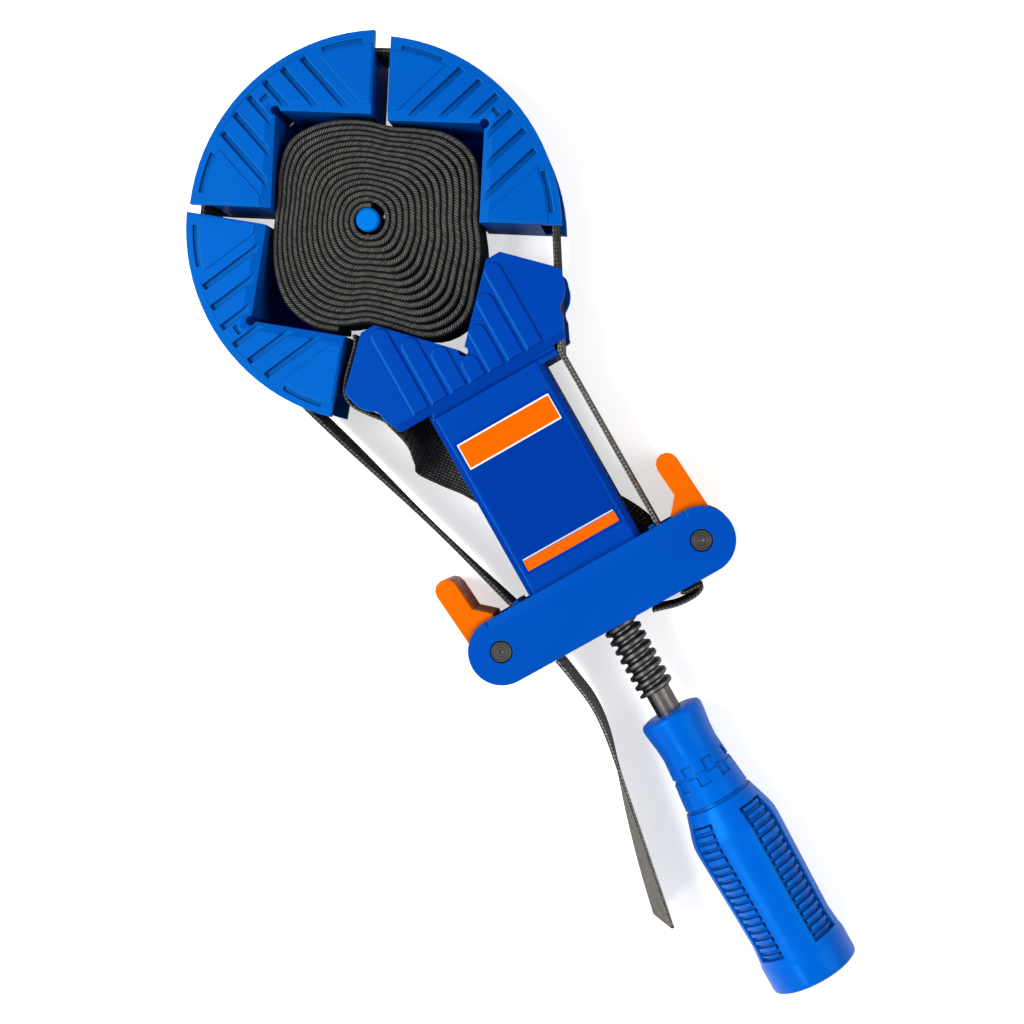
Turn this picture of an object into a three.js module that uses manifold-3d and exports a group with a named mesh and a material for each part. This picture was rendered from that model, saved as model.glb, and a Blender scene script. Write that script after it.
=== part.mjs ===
// Band clamp: a webbing strap loops round four corner jaws, and a hand screw
// drives a crossbar with two cam levers down the stem to pull the strap tight.
// Millimetres, +Z up. The origin is on the underside of the fixed jaw, on the
// stem's centre line, and +Y runs from the handle to the jaws.

import * as THREE from 'three';
import { mergeVertices } from 'three/addons/utils/BufferGeometryUtils.js';
import Module from 'manifold-3d';

const wasm = await Module();
wasm.setup();

// Strap
const strapWidth = 25;
const strapThick = 1.3;

// Clearances
const seatGap = 0.3;
const runGap = 0.35;
const strapGap = 0.35;
const overrun = 2;
const weld = 0.6;

// Corner jaws and fixed jaw
const jawFlange = 3.1;
const channelGap = 0.4;
const jawHeight = strapWidth + (jawFlange + channelGap) * 2;
const veeDistance = 41.3;
const jawWall = 30.6;
const jawRadius = veeDistance + jawWall;
const channelDepth = 7.9;
const jawEndOffset = 5.2;
const rimBand = 2.9;
const veeBevelWidth = 3.3;
const veeBevelDepth = 1.5;
const reliefRadius = 1.8;
const grooveCount = 6;
const groovePitch = 8.1;
const grooveWidth = 2.4;
const grooveDepthRim = 1.5;
const grooveDepthVee = 0.7;
const barLength = 3.6;
const barWidth = 1.6;
const barDepth = 0.8;
const barFromVee = 5.9;
const slotDepth = 0.8;
const slotWidth = 1.7;
const slotFromRim = 2.6;
const slotNearTurn = 24;
const slotFarTurn = 37;

// Corner jaw places: centre of each jaw's own rim, in shares of its radius,
// and the way that its vee points
const jawPlaceShares = [
  { name: 'jaw_top_left', x: -0.0612, y: 0.8748, turn: 102.3, colour: 0x1473e6 },
  { name: 'jaw_top_right', x: -0.1266, y: 0.8804, turn: 12.4, colour: 0x0f66d9 },
  { name: 'jaw_bottom_left', x: -0.0765, y: 0.8748, turn: 185.8, colour: 0x1473e6 },
];
const jawPlaces = jawPlaceShares.map((share) => (
  { ...share, x: share.x * jawRadius, y: share.y * jawRadius }));

// Fixed jaw outline
const headDrop = 0.8;
const headTop = jawHeight - headDrop;
const headVeeY = 7.2;
const wingInnerX = 24;
const wingTopY = 32.2;
const wingOuterX = 29.7;
const shoulderX = 46;
const shoulderY = 15.5;
const waistX = 39;
const waistY = 4;
const headLowX = 35.6;
const headLowY = -7.2;
const headBevel = 3;
const headCorner = 1.6;

// Outline of the core between the plates, in shares of the shoulder's X and
// the wing's Y: the right side leaves room for the strap's run to the right
// cam, and the left side for the run back to the coil
const coreRightShares = [
  [0.645, 1], [0.913, 0.6], [0.915, 0.48], [0.65, -0.25], [0.65, -0.34], [0.5, -0.34],
];
const coreLeftShares = [
  [-0.43, -0.22], [-0.66, 0.16], [-0.88, 0.38], [-0.945, 0.52], [-0.645, 1],
];
const fluteCount = 7;
const flutePitch = 8.05;
const fluteWidth = 6.6;
const fluteRise = 0.8;
const fluteEdge = 0.5;
const fluteFromVee = 1.9;

// Stem
const stemHalf = 23.5;
const stemLow = 5.4;
const stemDrop = 1.8;
const stemTop = headTop - stemDrop;
const stemEndY = -98.5;
const stemChamfer = 2.2;
const coverThick = 2.2;
const bayHalf = 8.6;
const bayTopY = -66;
const bulkheadY = -80;
const bulkheadThick = 3;

// Lead screw
const screwRise = 1.4;
const screwZ = jawHeight / 2 + screwRise;
const screwRadius = 7;
const shankRadius = 4.75;
const tipRadius = 3.9;
const screwTipY = -70.6;
const threadTopY = -97.5;
const shankEndY = -166;
const threadChamfer = 1.5;
const ringThick = 1.2;
const ringRadius = 6.6;
const padRadius = 6.2;
const padWall = 2.2;

// Handle
const handleTopY = -146.5;
const shankShown = 9.1;
const threadEndY = handleTopY + shankShown;
const handleEndY = -257.1;
const handleTopRadius = 12.4;
const neckY = -162;
const neckRadius = 10.9;
const seamY = -182.8;
const seamRadius = 13;
const seamDepth = 0.35;
const shoulderHandleY = -195.8;
const shoulderHandleRadius = 17.1;
const waistHandleY = -238;
const waistHandleRadius = 16;
const flareY = -247;
const flareRadius = 17.15;
const handleRound = 1.6;
const roundShare = 0.3;
const neckShares = [[0.33, 0.25], [0.93, 0.7]];
const swellShares = [0.25, 0.4];
const handleSides = 32;
const panelCount = 4;
const panelTopY = -187;
const panelEndY = -242;
const panelWidth = 11;
const panelDepth = 1.7;
const panelRibs = 18;
const ribShare = 0.5;
const ribHeight = 1.1;
const ribEndGap = 0.9;
const crossPinRadius = 1.5;
const crossPinY = -154;

// Crossbar
const slotEndGap = 2.8;
const slotLean = 4.6;
const pinFromSlot = 11.1;
const slotEndX = stemHalf + slotEndGap;
const slotTopX = slotEndX + slotLean;
const pinX = slotTopX + pinFromSlot;
const crossbarY = -96.1;
const crossbarHalf = 12.5;
const crossbarLow = 2;
const crossbarProud = 0.8;
const crossbarTop = jawHeight + crossbarProud;
const crossbarPlate = 2.6;
const crossbarBevel = 3.3;
const crossbarBevelDepth = 0.7;
const guideThick = 2.3;
const guideProud = 1.2;
const bossHalf = 19;
const bossTopY = -100.2;
const nutHalf = 9.7;
const nutTopY = -99.5;
const nutEndY = -106;

// Levers
const leverRest = 4.4;
const leverOffset = 5;
const leverHalf = 4.2;
const leverTip = 30;
const camRadius = 11.9;
const camRise = 0.9;
const camHeel = 9.4;
const camSpread = 40;
const camStartShare = -1.5;
const camEndShare = 2;
const camGrowShare = 0.4;
const heelStartTurn = 261;
const heelEndTurn = 378;
const camSteps = 22;
const flareLeverX = -4.6;
const flareLeverY = 13.5;
const flareLeverTopY = 19;
const toothDepth = 0.5;
const pinRadius = 3.85;
const pinProud = 0.5;
const pinDimple = 1.2;
const clipThick = 0.9;
const clipRadius = 6;
const mouthShare = 0.6;
const pinNeck = 3;
const springRadius = 6.4;
const springWire = 0.9;
const springTurns = 4;
const springPocket = 8.3;
const springBay = 8;

// Fasteners
const boltHead = 2.9;
const boltHeadHigh = 1.5;
const boltRadius = 1.5;
const boltLength = 9;
const boltInset = 5;

// Coil
const spindleX = -7.3;
const spindleY = 68.4;
const spindleRadius = 4.45;
const spindleEdge = 0.8;
const spindleProud = 0.8;
const coilFloor = 0.6;
const spindleTop = coilFloor + strapWidth + spindleProud;
const coilClearance = 1.3;
const coilReach = veeDistance - coilClearance;
const coilSteps = 24;
const coilTurnSteps = 372;
const coilStartStep = 3;

// Shares of the coil's reach at each step of the last turn, from +X to +Y, and
// how soon the round inner turns take up that outline
const coilOutlineShares = [
  1.18, 1.12, 0.99, 0.91, 0.93, 0.975, 1.03, 1.06,
  0.985, 0.9, 0.895, 0.93, 1, 1.085, 1.115, 1.075,
  0.97, 1.03, 1.27, 1.31, 1.2, 1.14, 1.06, 1.1,
];
const coilGrowShare = 0.35;

// Strap routes
const leftJoinY = 10.3;
const rightJoinShare = 0.85;
const loopSpreadShare = 0.35;

// Hand-placed routes: X, Y, Z of the strap's middle, and its roll in degrees
// from lying flat to standing on edge
const returnRoute = [
  [22, -104, 0.95, 0], [20, -93, 0.95, 0], [17, -82, 0.95, 0], [11.5, -72, 0.95, 0],
  [3.5, -61, 0.95, 0], [-5.5, -50.5, 0.95, 0], [-13.5, -40, 0.95, 0], [-19.5, -30, 1.7, 4],
  [-25, -23, 3.2, 11], [-29.5, -17, 6.6, 27], [-31.5, -11.5, 12.2, 54], [-33.5, -6, 15.8, 72],
  [-37, 0, 16, 83], [-42.5, 5, 16, 90], [-46.3, 11, 16, 90], [-46.6, 16, 16, 90],
  [-43.6, 20.6, 16, 90], [-38.6, 25.6, 16, 90], [-33.9, 30.4, 16, 90], [-32.8, 33.5, 16, 90],
];
const foldRoute = [
  [26.1, -109.3, 14.5, 90], [26.8, -110, 14.5, 90], [29, -110.4, 14.5, 90], [32, -110.4, 14.5, 90],
  [33.6, -111.4, 14.5, 90], [31, -112.6, 14.5, 90], [26.7, -112.9, 14.5, 90], [22, -112.1, 14.5, 90],
  [19.5, -110.4, 14.5, 90],
];
const tailRoute = [
  [-26.2, -109.1, 17.4, 90], [-25.6, -112, 17.3, 90], [-24.6, -119, 16, 90], [-23.4, -130, 14.3, 90],
  [-24.4, -142, 13.2, 89],
  [-28, -158, 12.9, 87], [-33, -178, 12.9, 83], [-37, -198, 12.8, 78], [-40.7, -217.8, 12.7, 74],
];

// Worked out from the sizes above
const webRadius = jawRadius - channelDepth;
const strapMidZ = jawHeight / 2;
const crossbarMidZ = (crossbarLow + crossbarTop) / 2;
const plateLowZ = crossbarLow + crossbarPlate;
const plateTopZ = crossbarTop - crossbarPlate;
const crossbarEndY = crossbarY - crossbarHalf;
const crossbarTopY = crossbarY + crossbarHalf;

// Helpers

function material(colour, roughness, metalness) {
  return new THREE.MeshStandardMaterial({ color: colour, roughness, metalness });
}

function toSolid(geometry) {
  const bare = geometry.clone();
  bare.deleteAttribute('normal');
  bare.deleteAttribute('uv');
  const merged = mergeVertices(bare);
  const vertProperties = new Float32Array(merged.attributes.position.array);
  const triVerts = new Uint32Array(merged.index.array);
  let volume = 0;
  const a = new THREE.Vector3();
  const b = new THREE.Vector3();
  const c = new THREE.Vector3();
  for (let i = 0; i < triVerts.length; i += 3) {
    a.fromArray(vertProperties, triVerts[i] * 3);
    b.fromArray(vertProperties, triVerts[i + 1] * 3);
    c.fromArray(vertProperties, triVerts[i + 2] * 3);
    volume += a.dot(b.cross(c));
  }
  if (volume < 0) {
    for (let i = 0; i < triVerts.length; i += 3) {
      [triVerts[i + 1], triVerts[i + 2]] = [triVerts[i + 2], triVerts[i + 1]];
    }
  }
  return new wasm.Manifold(new wasm.Mesh({ numProp: 3, vertProperties, triVerts }));
}

function toGeometry(solid) {
  const mesh = solid.getMesh();
  const geometry = new THREE.BufferGeometry();
  geometry.setAttribute('position', new THREE.BufferAttribute(new Float32Array(mesh.vertProperties), 3));
  geometry.setIndex(new THREE.BufferAttribute(new Uint32Array(mesh.triVerts), 1));
  geometry.computeVertexNormals();
  return geometry;
}

function joined(solids) {
  return solids.reduce((sum, solid) => sum.add(solid));
}

function without(solid, cutters) {
  return cutters.reduce((rest, cutter) => rest.subtract(cutter), solid);
}

function named(name, solid, look) {
  const mesh = new THREE.Mesh(toGeometry(solid), look);
  mesh.name = name;
  return mesh;
}

// A flat outline in X and Y, raised from one height to another
function slab(shape, low, high, curveSegments = 12) {
  const geometry = new THREE.ExtrudeGeometry(shape, {
    depth: high - low, bevelEnabled: false, curveSegments,
  });
  geometry.translate(0, 0, low);
  return toSolid(geometry);
}

function outline(points) {
  return new THREE.Shape(points.map(([x, y]) => new THREE.Vector2(x, y)));
}

function block(x0, x1, y0, y1, z0, z1) {
  const geometry = new THREE.BoxGeometry(x1 - x0, y1 - y0, z1 - z0);
  geometry.translate((x0 + x1) / 2, (y0 + y1) / 2, (z0 + z1) / 2);
  return toSolid(geometry);
}

// An upright round rod
function post(x, y, radius, low, high, sides = 20) {
  const geometry = new THREE.CylinderGeometry(radius, radius, high - low, sides);
  geometry.rotateX(Math.PI / 2);
  geometry.translate(x, y, (low + high) / 2);
  return toSolid(geometry);
}

// A turned piece on an axis along Y, from pairs of radius and Y
function turnedAlongY(pairs, sides, x, z) {
  const points = pairs.map(([r, y]) => new THREE.Vector2(r, y));
  const geometry = new THREE.LatheGeometry(points, sides);
  geometry.translate(x, 0, z);
  return toSolid(geometry);
}

// A turned piece on an upright axis, from pairs of radius and height
function turnedUpright(pairs, sides, x, y) {
  const points = pairs.map(([r, z]) => new THREE.Vector2(r, z));
  const geometry = new THREE.LatheGeometry(points, sides);
  geometry.rotateX(Math.PI / 2);
  geometry.translate(x, y, 0);
  return toSolid(geometry);
}

// A slice of strap swept through stations: each has a centre, and the way
// that the strap's width lies there
function band(stations, width, thick) {
  const corners = [];
  stations.forEach((station, i) => {
    const before = stations[Math.max(i - 1, 0)].centre;
    const after = stations[Math.min(i + 1, stations.length - 1)].centre;
    const along = after.clone().sub(before).normalize();
    const across = station.across.clone().addScaledVector(along, -station.across.dot(along)).normalize();
    const face = along.clone().cross(across);
    for (const [w, t] of [[-1, -1], [1, -1], [1, 1], [-1, 1]]) {
      corners.push(station.centre.clone()
        .addScaledVector(across, w * width / 2)
        .addScaledVector(face, t * thick / 2));
    }
  });
  const triangles = [];
  for (let i = 0; i + 1 < stations.length; i += 1) {
    for (let k = 0; k < 4; k += 1) {
      const a = 4 * i + k;
      const b = 4 * i + (k + 1) % 4;
      triangles.push(a, b, b + 4, a, b + 4, a + 4);
    }
  }
  const last = 4 * (stations.length - 1);
  triangles.push(0, 2, 1, 0, 3, 2, last, last + 1, last + 2, last, last + 2, last + 3);
  const geometry = new THREE.BufferGeometry();
  const array = new Float32Array(corners.flatMap((p) => [p.x, p.y, p.z]));
  geometry.setAttribute('position', new THREE.BufferAttribute(array, 3));
  geometry.setIndex(triangles);
  return toSolid(geometry);
}

// Stations along hand-placed points: x, y, z and the roll of the strap, in
// degrees from lying flat to standing on edge
function rolledStations(points, steps) {
  const route = new THREE.CatmullRomCurve3(points.map(([x, y, z]) => new THREE.Vector3(x, y, z)));
  const rolls = new THREE.CatmullRomCurve3(points.map(([, , , roll]) => new THREE.Vector3(roll, 0, 0)));
  const up = new THREE.Vector3(0, 0, 1);
  const stations = [];
  for (let i = 0; i <= steps; i += 1) {
    const along = route.getTangent(i / steps);
    const left = up.clone().cross(along).normalize();
    const roll = THREE.MathUtils.degToRad(rolls.getPoint(i / steps).x);
    const across = left.multiplyScalar(Math.cos(roll)).addScaledVector(up, Math.sin(roll));
    stations.push({ centre: route.getPoint(i / steps), across });
  }
  return stations;
}

// Corner jaws: two flanges with a strap channel between them, and a vee inside

function ringSector(inner, outer, from, to, low, high, curveSegments) {
  const shape = new THREE.Shape();
  shape.absarc(0, 0, outer, from, to, false);
  shape.absarc(0, 0, inner, to, from, true);
  return slab(shape, low, high, curveSegments);
}

function jawBlank() {
  const reach = Math.sqrt(jawRadius ** 2 - jawEndOffset ** 2);
  const start = Math.atan2(jawEndOffset, reach);
  const shape = new THREE.Shape();
  shape.moveTo(veeDistance, veeDistance);
  shape.lineTo(veeDistance, jawEndOffset);
  shape.lineTo(reach, jawEndOffset);
  shape.absarc(0, 0, jawRadius, start, Math.PI / 2 - start, false);
  shape.lineTo(jawEndOffset, veeDistance);
  return slab(shape, 0, jawHeight, 10);
}

function strapChannel() {
  return ringSector(webRadius, jawRadius + overrun, -Math.PI / 8, Math.PI * 5 / 8,
    jawFlange, jawHeight - jawFlange, 14);
}

// The slope that leads from the top face down into the vee
function veeBevel() {
  const rise = veeBevelDepth + overrun;
  const spread = veeBevelWidth * rise / veeBevelDepth;
  const geometry = new THREE.BoxGeometry(veeDistance, veeDistance, rise);
  geometry.translate(veeDistance / 2, veeDistance / 2, jawHeight + overrun - rise / 2);
  const place = geometry.attributes.position;
  for (let i = 0; i < place.count; i += 1) {
    const upper = place.getZ(i) > jawHeight;
    if (upper && place.getX(i) > veeDistance / 2) place.setX(i, veeDistance + spread);
    if (upper && place.getY(i) > veeDistance / 2) place.setY(i, veeDistance + spread);
  }
  return toSolid(geometry);
}

// A groove along the bisector, deepest at the rim, that runs out into the vee
function jawGroove(sideways) {
  const start = Math.sqrt((jawRadius - rimBand) ** 2 - (Math.abs(sideways) + grooveWidth / 2) ** 2);
  const end = veeDistance * Math.SQRT2 - Math.abs(sideways) - grooveWidth;
  const shape = outline([
    [start, jawHeight + overrun],
    [end, jawHeight + overrun],
    [end, jawHeight - grooveDepthVee],
    [start - grooveDepthRim / 2, jawHeight - grooveDepthRim],
    [start, jawHeight],
  ]);
  const geometry = new THREE.ExtrudeGeometry(shape, { depth: grooveWidth, bevelEnabled: false });
  geometry.rotateX(Math.PI / 2);
  geometry.translate(0, sideways + grooveWidth / 2, 0);
  geometry.rotateZ(Math.PI / 4);
  return toSolid(geometry);
}

function jawBar() {
  const along = veeDistance * Math.SQRT2 + barFromVee;
  const geometry = new THREE.BoxGeometry(barWidth, barLength, barDepth * 2);
  geometry.translate(along, 0, jawHeight);
  geometry.rotateZ(Math.PI / 4);
  return toSolid(geometry);
}

function jawRimSlot(side) {
  const middle = Math.PI / 4;
  const near = middle + side * THREE.MathUtils.degToRad(slotNearTurn);
  const far = middle + side * THREE.MathUtils.degToRad(slotFarTurn);
  const outer = jawRadius - slotFromRim;
  return ringSector(outer - slotWidth, outer, Math.min(near, far), Math.max(near, far),
    jawHeight - slotDepth, jawHeight + overrun, 3);
}

function cornerJaw(place) {
  const cutters = [strapChannel(), veeBevel(), jawBar(), jawRimSlot(-1), jawRimSlot(1)];
  cutters.push(post(veeDistance, veeDistance, reliefRadius, -overrun, jawHeight + overrun, 12));
  for (let i = 0; i < grooveCount; i += 1) {
    cutters.push(jawGroove((i - (grooveCount - 1) / 2) * groovePitch));
  }
  const mesh = named(place.name, without(jawBlank(), cutters), material(place.colour, 0.45, 0));
  mesh.position.set(place.x, place.y, 0);
  mesh.rotation.z = THREE.MathUtils.degToRad(place.turn - 45);
  return mesh;
}

// Fixed jaw: two plates of one outline round a core, in one with the stem

function headPlan() {
  const path = new THREE.Path();
  const wingDrop = shoulderX - headCorner - wingOuterX;
  path.moveTo(0, headVeeY);
  path.lineTo(wingInnerX, wingTopY);
  path.lineTo(wingOuterX, wingTopY);
  path.lineTo(wingOuterX + wingDrop, wingTopY - wingDrop);
  path.quadraticCurveTo(shoulderX + headCorner / 2, shoulderY, shoulderX - headCorner / 2,
    shoulderY - headCorner * 2);
  path.quadraticCurveTo(shoulderX - headCorner, waistY + headCorner * 2, waistX + headCorner,
    waistY + headCorner / 2);
  path.quadraticCurveTo(waistX - headCorner / 2, waistY, waistX - headCorner / 2, 0);
  path.lineTo(headLowX, headLowY + headCorner);
  path.quadraticCurveTo(headLowX, headLowY, headLowX - headCorner, headLowY);
  const right = path.getPoints(4);
  const left = right.slice(1).reverse().map((p) => new THREE.Vector2(-p.x, p.y));
  return new THREE.Shape([...right, ...left]);
}

function headCore() {
  const scaled = ([x, y]) => [x * shoulderX, y * wingTopY];
  return outline([
    [0, headVeeY],
    [wingInnerX, wingTopY],
    ...coreRightShares.map(scaled),
    ...coreLeftShares.map(scaled),
    [-wingInnerX, wingTopY],
  ]);
}

function headFlute(index) {
  const x = index * flutePitch;
  const slope = (wingTopY - headVeeY) / wingInnerX;
  const top = headVeeY + Math.abs(x) * slope - fluteFromVee - fluteWidth / 2;
  const low = headLowY + headBevel + fluteWidth / 2;
  const half = fluteWidth / 2 - fluteEdge;
  const shape = new THREE.Shape();
  shape.absarc(x, top, half, 0, Math.PI, false);
  shape.lineTo(x - half, low - half);
  shape.lineTo(x + half, low - half);
  const geometry = new THREE.ExtrudeGeometry(shape, {
    depth: weld, bevelThickness: fluteRise, bevelSize: fluteEdge, bevelSegments: 2, curveSegments: 5,
  });
  geometry.translate(0, 0, headTop - weld);
  return toSolid(geometry);
}

function headEdgeBevel() {
  const drop = headTop - stemTop;
  const shape = outline([
    [headLowY + headBevel, headTop],
    [headLowY - overrun, headTop - drop * (headBevel + overrun) / headBevel],
    [headLowY - overrun, headTop + overrun],
    [headLowY + headBevel, headTop + overrun],
  ]);
  const geometry = new THREE.ExtrudeGeometry(shape, { depth: shoulderX * 2, bevelEnabled: false });
  geometry.rotateX(Math.PI / 2);
  geometry.rotateZ(Math.PI / 2);
  geometry.translate(-shoulderX, 0, 0);
  return toSolid(geometry);
}

// A rod with a profile in X and Z, lying along Y
function bar(profile, fromY, toY) {
  const geometry = new THREE.ExtrudeGeometry(outline(profile), { depth: toY - fromY, bevelEnabled: false });
  geometry.rotateX(Math.PI / 2);
  geometry.translate(0, toY, 0);
  return toSolid(geometry);
}

function stemShell() {
  const low = stemLow + coverThick + seatGap;
  return bar([
    [-stemHalf, low],
    [stemHalf, low],
    [stemHalf, stemTop - stemChamfer],
    [stemHalf - stemChamfer, stemTop],
    [stemChamfer - stemHalf, stemTop],
    [-stemHalf, stemTop - stemChamfer],
  ], stemEndY, headLowY + weld);
}

// The bay for the screw's tip, and the bulkhead that its ring bears on
function screwBay() {
  const floor = stemLow + coverThick - overrun;
  const roof = screwZ + bayHalf;
  const lower = block(-bayHalf, bayHalf, stemEndY - overrun, bulkheadY, floor, roof);
  const upper = block(-bayHalf, bayHalf, bulkheadY + bulkheadThick, bayTopY, floor, roof);
  const hole = turnedAlongY([
    [0, bulkheadY - overrun], [shankRadius + runGap, bulkheadY - overrun],
    [shankRadius + runGap, bulkheadY + bulkheadThick + overrun], [0, bulkheadY + bulkheadThick + overrun],
  ], 20, 0, screwZ);
  return lower.add(upper).add(hole);
}

const coverTopY = coreRightShares[4][1] * wingTopY - seatGap;
const coverBolts = [
  [-1, stemEndY + boltInset], [1, stemEndY + boltInset],
  [-1, coverTopY - boltInset], [1, coverTopY - boltInset],
].map(([side, y]) => [side * (stemHalf - boltInset), y]);

function fixedJaw() {
  const solids = [
    slab(headPlan(), 0, jawFlange),
    slab(headCore(), jawFlange - weld, jawHeight - jawFlange),
    slab(headPlan(), jawHeight - jawFlange, headTop),
    stemShell(),
  ];
  const flutesEachSide = (fluteCount - 1) / 2;
  for (let i = -flutesEachSide; i <= flutesEachSide; i += 1) {
    solids.push(headFlute(i));
  }
  const cutters = [headEdgeBevel(), screwBay()];
  cutters.push(post(0, headVeeY, reliefRadius, -overrun, jawHeight + overrun, 12));
  for (const [x, y] of coverBolts) {
    cutters.push(post(x, y, boltRadius + seatGap, stemLow, stemLow + boltLength + seatGap, 12));
  }
  return named('fixed_jaw', without(joined(solids), cutters), material(0x0a52c8, 0.45, 0));
}

function stemBackCover() {
  const cover = block(-stemHalf, stemHalf, stemEndY, coverTopY, stemLow, stemLow + coverThick);
  const holes = coverBolts.map(([x, y]) => turnedUpright([
    [0, stemLow - overrun], [boltHead + seatGap, stemLow - overrun],
    [boltHead + seatGap, stemLow + boltHeadHigh + seatGap],
    [boltRadius + seatGap, stemLow + boltHeadHigh + seatGap],
    [boltRadius + seatGap, stemLow + coverThick + overrun], [0, stemLow + coverThick + overrun],
  ], 12, x, y));
  return named('stem_back_cover', without(cover, holes), material(0x0a3fa8, 0.5, 0));
}

function bolt(x, y, low, length) {
  return turnedUpright([
    [0, low], [boltHead, low], [boltHead, low + boltHeadHigh],
    [boltRadius, low + boltHeadHigh], [boltRadius, low + length], [0, low + length],
  ], 12, x, y);
}

function stemCoverScrews() {
  return coverBolts.map(([x, y], i) => named(`stem_screw_${i + 1}`, bolt(x, y, stemLow, boltLength),
    material(0x55585c, 0.35, 0.9)));
}

// Lead screw and what holds its tip in the stem

function leadScrew() {
  const ringY = bulkheadY + bulkheadThick + runGap;
  const solid = turnedAlongY([
    [0, shankEndY],
    [shankRadius - threadChamfer / 2, shankEndY],
    [shankRadius, shankEndY + threadChamfer / 2],
    [shankRadius, threadEndY],
    [screwRadius, threadEndY + threadChamfer],
    [screwRadius, threadTopY - threadChamfer],
    [shankRadius, threadTopY],
    [shankRadius, ringY],
    [tipRadius, ringY],
    [tipRadius, ringY + ringThick + seatGap * 2],
    [shankRadius, ringY + ringThick + seatGap * 2],
    [shankRadius, screwTipY - threadChamfer],
    [tipRadius, screwTipY],
    [0, screwTipY],
  ], handleSides, 0, screwZ);
  const hole = post(0, crossPinY, crossPinRadius + seatGap, screwZ - screwRadius, screwZ + screwRadius, 12);
  return named('lead_screw', solid.subtract(hole), material(0x4a4c50, 0.35, 0.9));
}

function retainingRing() {
  const low = bulkheadY + bulkheadThick + runGap + seatGap;
  const inner = tipRadius + seatGap;
  const ring = turnedAlongY([
    [inner, low], [ringRadius, low], [ringRadius, low + ringThick], [inner, low + ringThick], [inner, low],
  ], 24, 0, screwZ);
  const mouth = block(-tipRadius * mouthShare, tipRadius * mouthShare, low - overrun, low + ringThick + overrun,
    screwZ, screwZ + ringRadius + overrun);
  return named('screw_retaining_ring', ring.subtract(mouth), material(0x3a3c40, 0.4, 0.9));
}

// A cup in the stem's bay that the screw's tip turns in
function thrustPad() {
  const low = screwTipY - threadChamfer;
  const bore = shankRadius + runGap;
  const floor = screwTipY + seatGap;
  const top = floor + padWall;
  const solid = turnedAlongY([
    [0, floor], [bore, floor], [bore, low], [padRadius, low], [padRadius, top], [0, top],
  ], 24, 0, screwZ);
  const foot = block(-padRadius, padRadius, floor, bayTopY - seatGap, screwZ - padRadius, screwZ + padRadius);
  return named('thrust_pad', solid.add(foot), material(0x8a8c90, 0.35, 0.9));
}

// Handle: a turned grip with four ribbed panels pressed into it

const gripProfile = [
  [handleTopRadius - handleRound, handleTopY],
  [handleTopRadius - handleRound * roundShare, handleTopY - handleRound * roundShare],
  [handleTopRadius, handleTopY - handleRound],
  ...neckShares.map(([across, along]) => [
    THREE.MathUtils.lerp(handleTopRadius, neckRadius, across),
    THREE.MathUtils.lerp(handleTopY, neckY, along),
  ]),
  [neckRadius, neckY],
  [
    THREE.MathUtils.lerp(neckRadius, seamRadius, swellShares[0]),
    THREE.MathUtils.lerp(neckY, seamY, swellShares[1]),
  ],
  [seamRadius - seamDepth, seamY + seamDepth * 2],
  [seamRadius - seamDepth * 2, seamY],
  [seamRadius, seamY - seamDepth * 2],
  [shoulderHandleRadius - handleRound / 2, shoulderHandleY + handleRound],
  [shoulderHandleRadius, shoulderHandleY - handleRound],
  [waistHandleRadius, waistHandleY],
  [flareRadius - seamDepth, flareY],
  [flareRadius, flareY - seamDepth * 2],
  [flareRadius, handleEndY + handleRound],
  [flareRadius - handleRound * roundShare, handleEndY + handleRound * roundShare],
  [flareRadius - handleRound, handleEndY],
];

function gripRadius(y) {
  for (let i = 0; i + 1 < gripProfile.length; i += 1) {
    const [r0, y0] = gripProfile[i];
    const [r1, y1] = gripProfile[i + 1];
    if (y <= y0 && y >= y1) return r0 + (r1 - r0) * (y - y0) / (y1 - y0);
  }
  return flareRadius;
}

// A sleeve that follows the grip's outside at a depth below it
function gripSleeve(depth, outside, fromY, toY) {
  const stops = [toY, waistHandleY, shoulderHandleY - handleRound, shoulderHandleY + handleRound, fromY];
  const used = stops.filter((y, i) => i === 0 || (y > toY && y <= fromY));
  const inner = used.map((y) => [gripRadius(y) - depth, y]);
  const outer = used.map((y) => [gripRadius(y) + outside, y]).reverse();
  return turnedAlongY([...inner, ...outer, inner[0]], handleSides, 0, 0);
}

function aroundGrip(solid, index) {
  return solid.rotate([0, 45 + index * 360 / panelCount, 0]).translate([0, 0, screwZ]);
}

function handleGrip() {
  const bore = shankRadius + seatGap;
  const blank = turnedAlongY([
    [0, handleEndY],
    ...[...gripProfile].reverse(),
    [bore, handleTopY],
    [bore, shankEndY - seatGap],
    [0, shankEndY - seatGap],
  ], handleSides, 0, screwZ);
  const pocketSleeve = gripSleeve(panelDepth, overrun, panelTopY, panelEndY);
  const ribSleeve = gripSleeve(panelDepth + weld, ribHeight - panelDepth, panelTopY, panelEndY);
  const window = block(-panelWidth / 2, panelWidth / 2, panelEndY, panelTopY, 0, flareRadius * 2);
  const pitch = (panelTopY - panelEndY) / panelRibs;
  const comb = [];
  for (let i = 0; i < panelRibs; i += 1) {
    const middle = panelEndY + (i + 0.5) * pitch;
    const half = pitch * ribShare / 2;
    const reach = panelWidth / 2 - ribEndGap;
    comb.push(block(-reach, reach, middle - half, middle + half, 0, flareRadius * 2));
  }
  const pocket = pocketSleeve.intersect(window);
  const ribs = ribSleeve.intersect(joined(comb));
  let solid = blank;
  for (let k = 0; k < panelCount; k += 1) {
    solid = solid.subtract(aroundGrip(pocket, k)).add(aroundGrip(ribs, k));
  }
  const pinHole = post(0, crossPinY, crossPinRadius + seatGap, screwZ - flareRadius, screwZ + flareRadius, 12);
  return named('handle_grip', solid.subtract(pinHole), material(0x0b5fd0, 0.4, 0));
}

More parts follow.
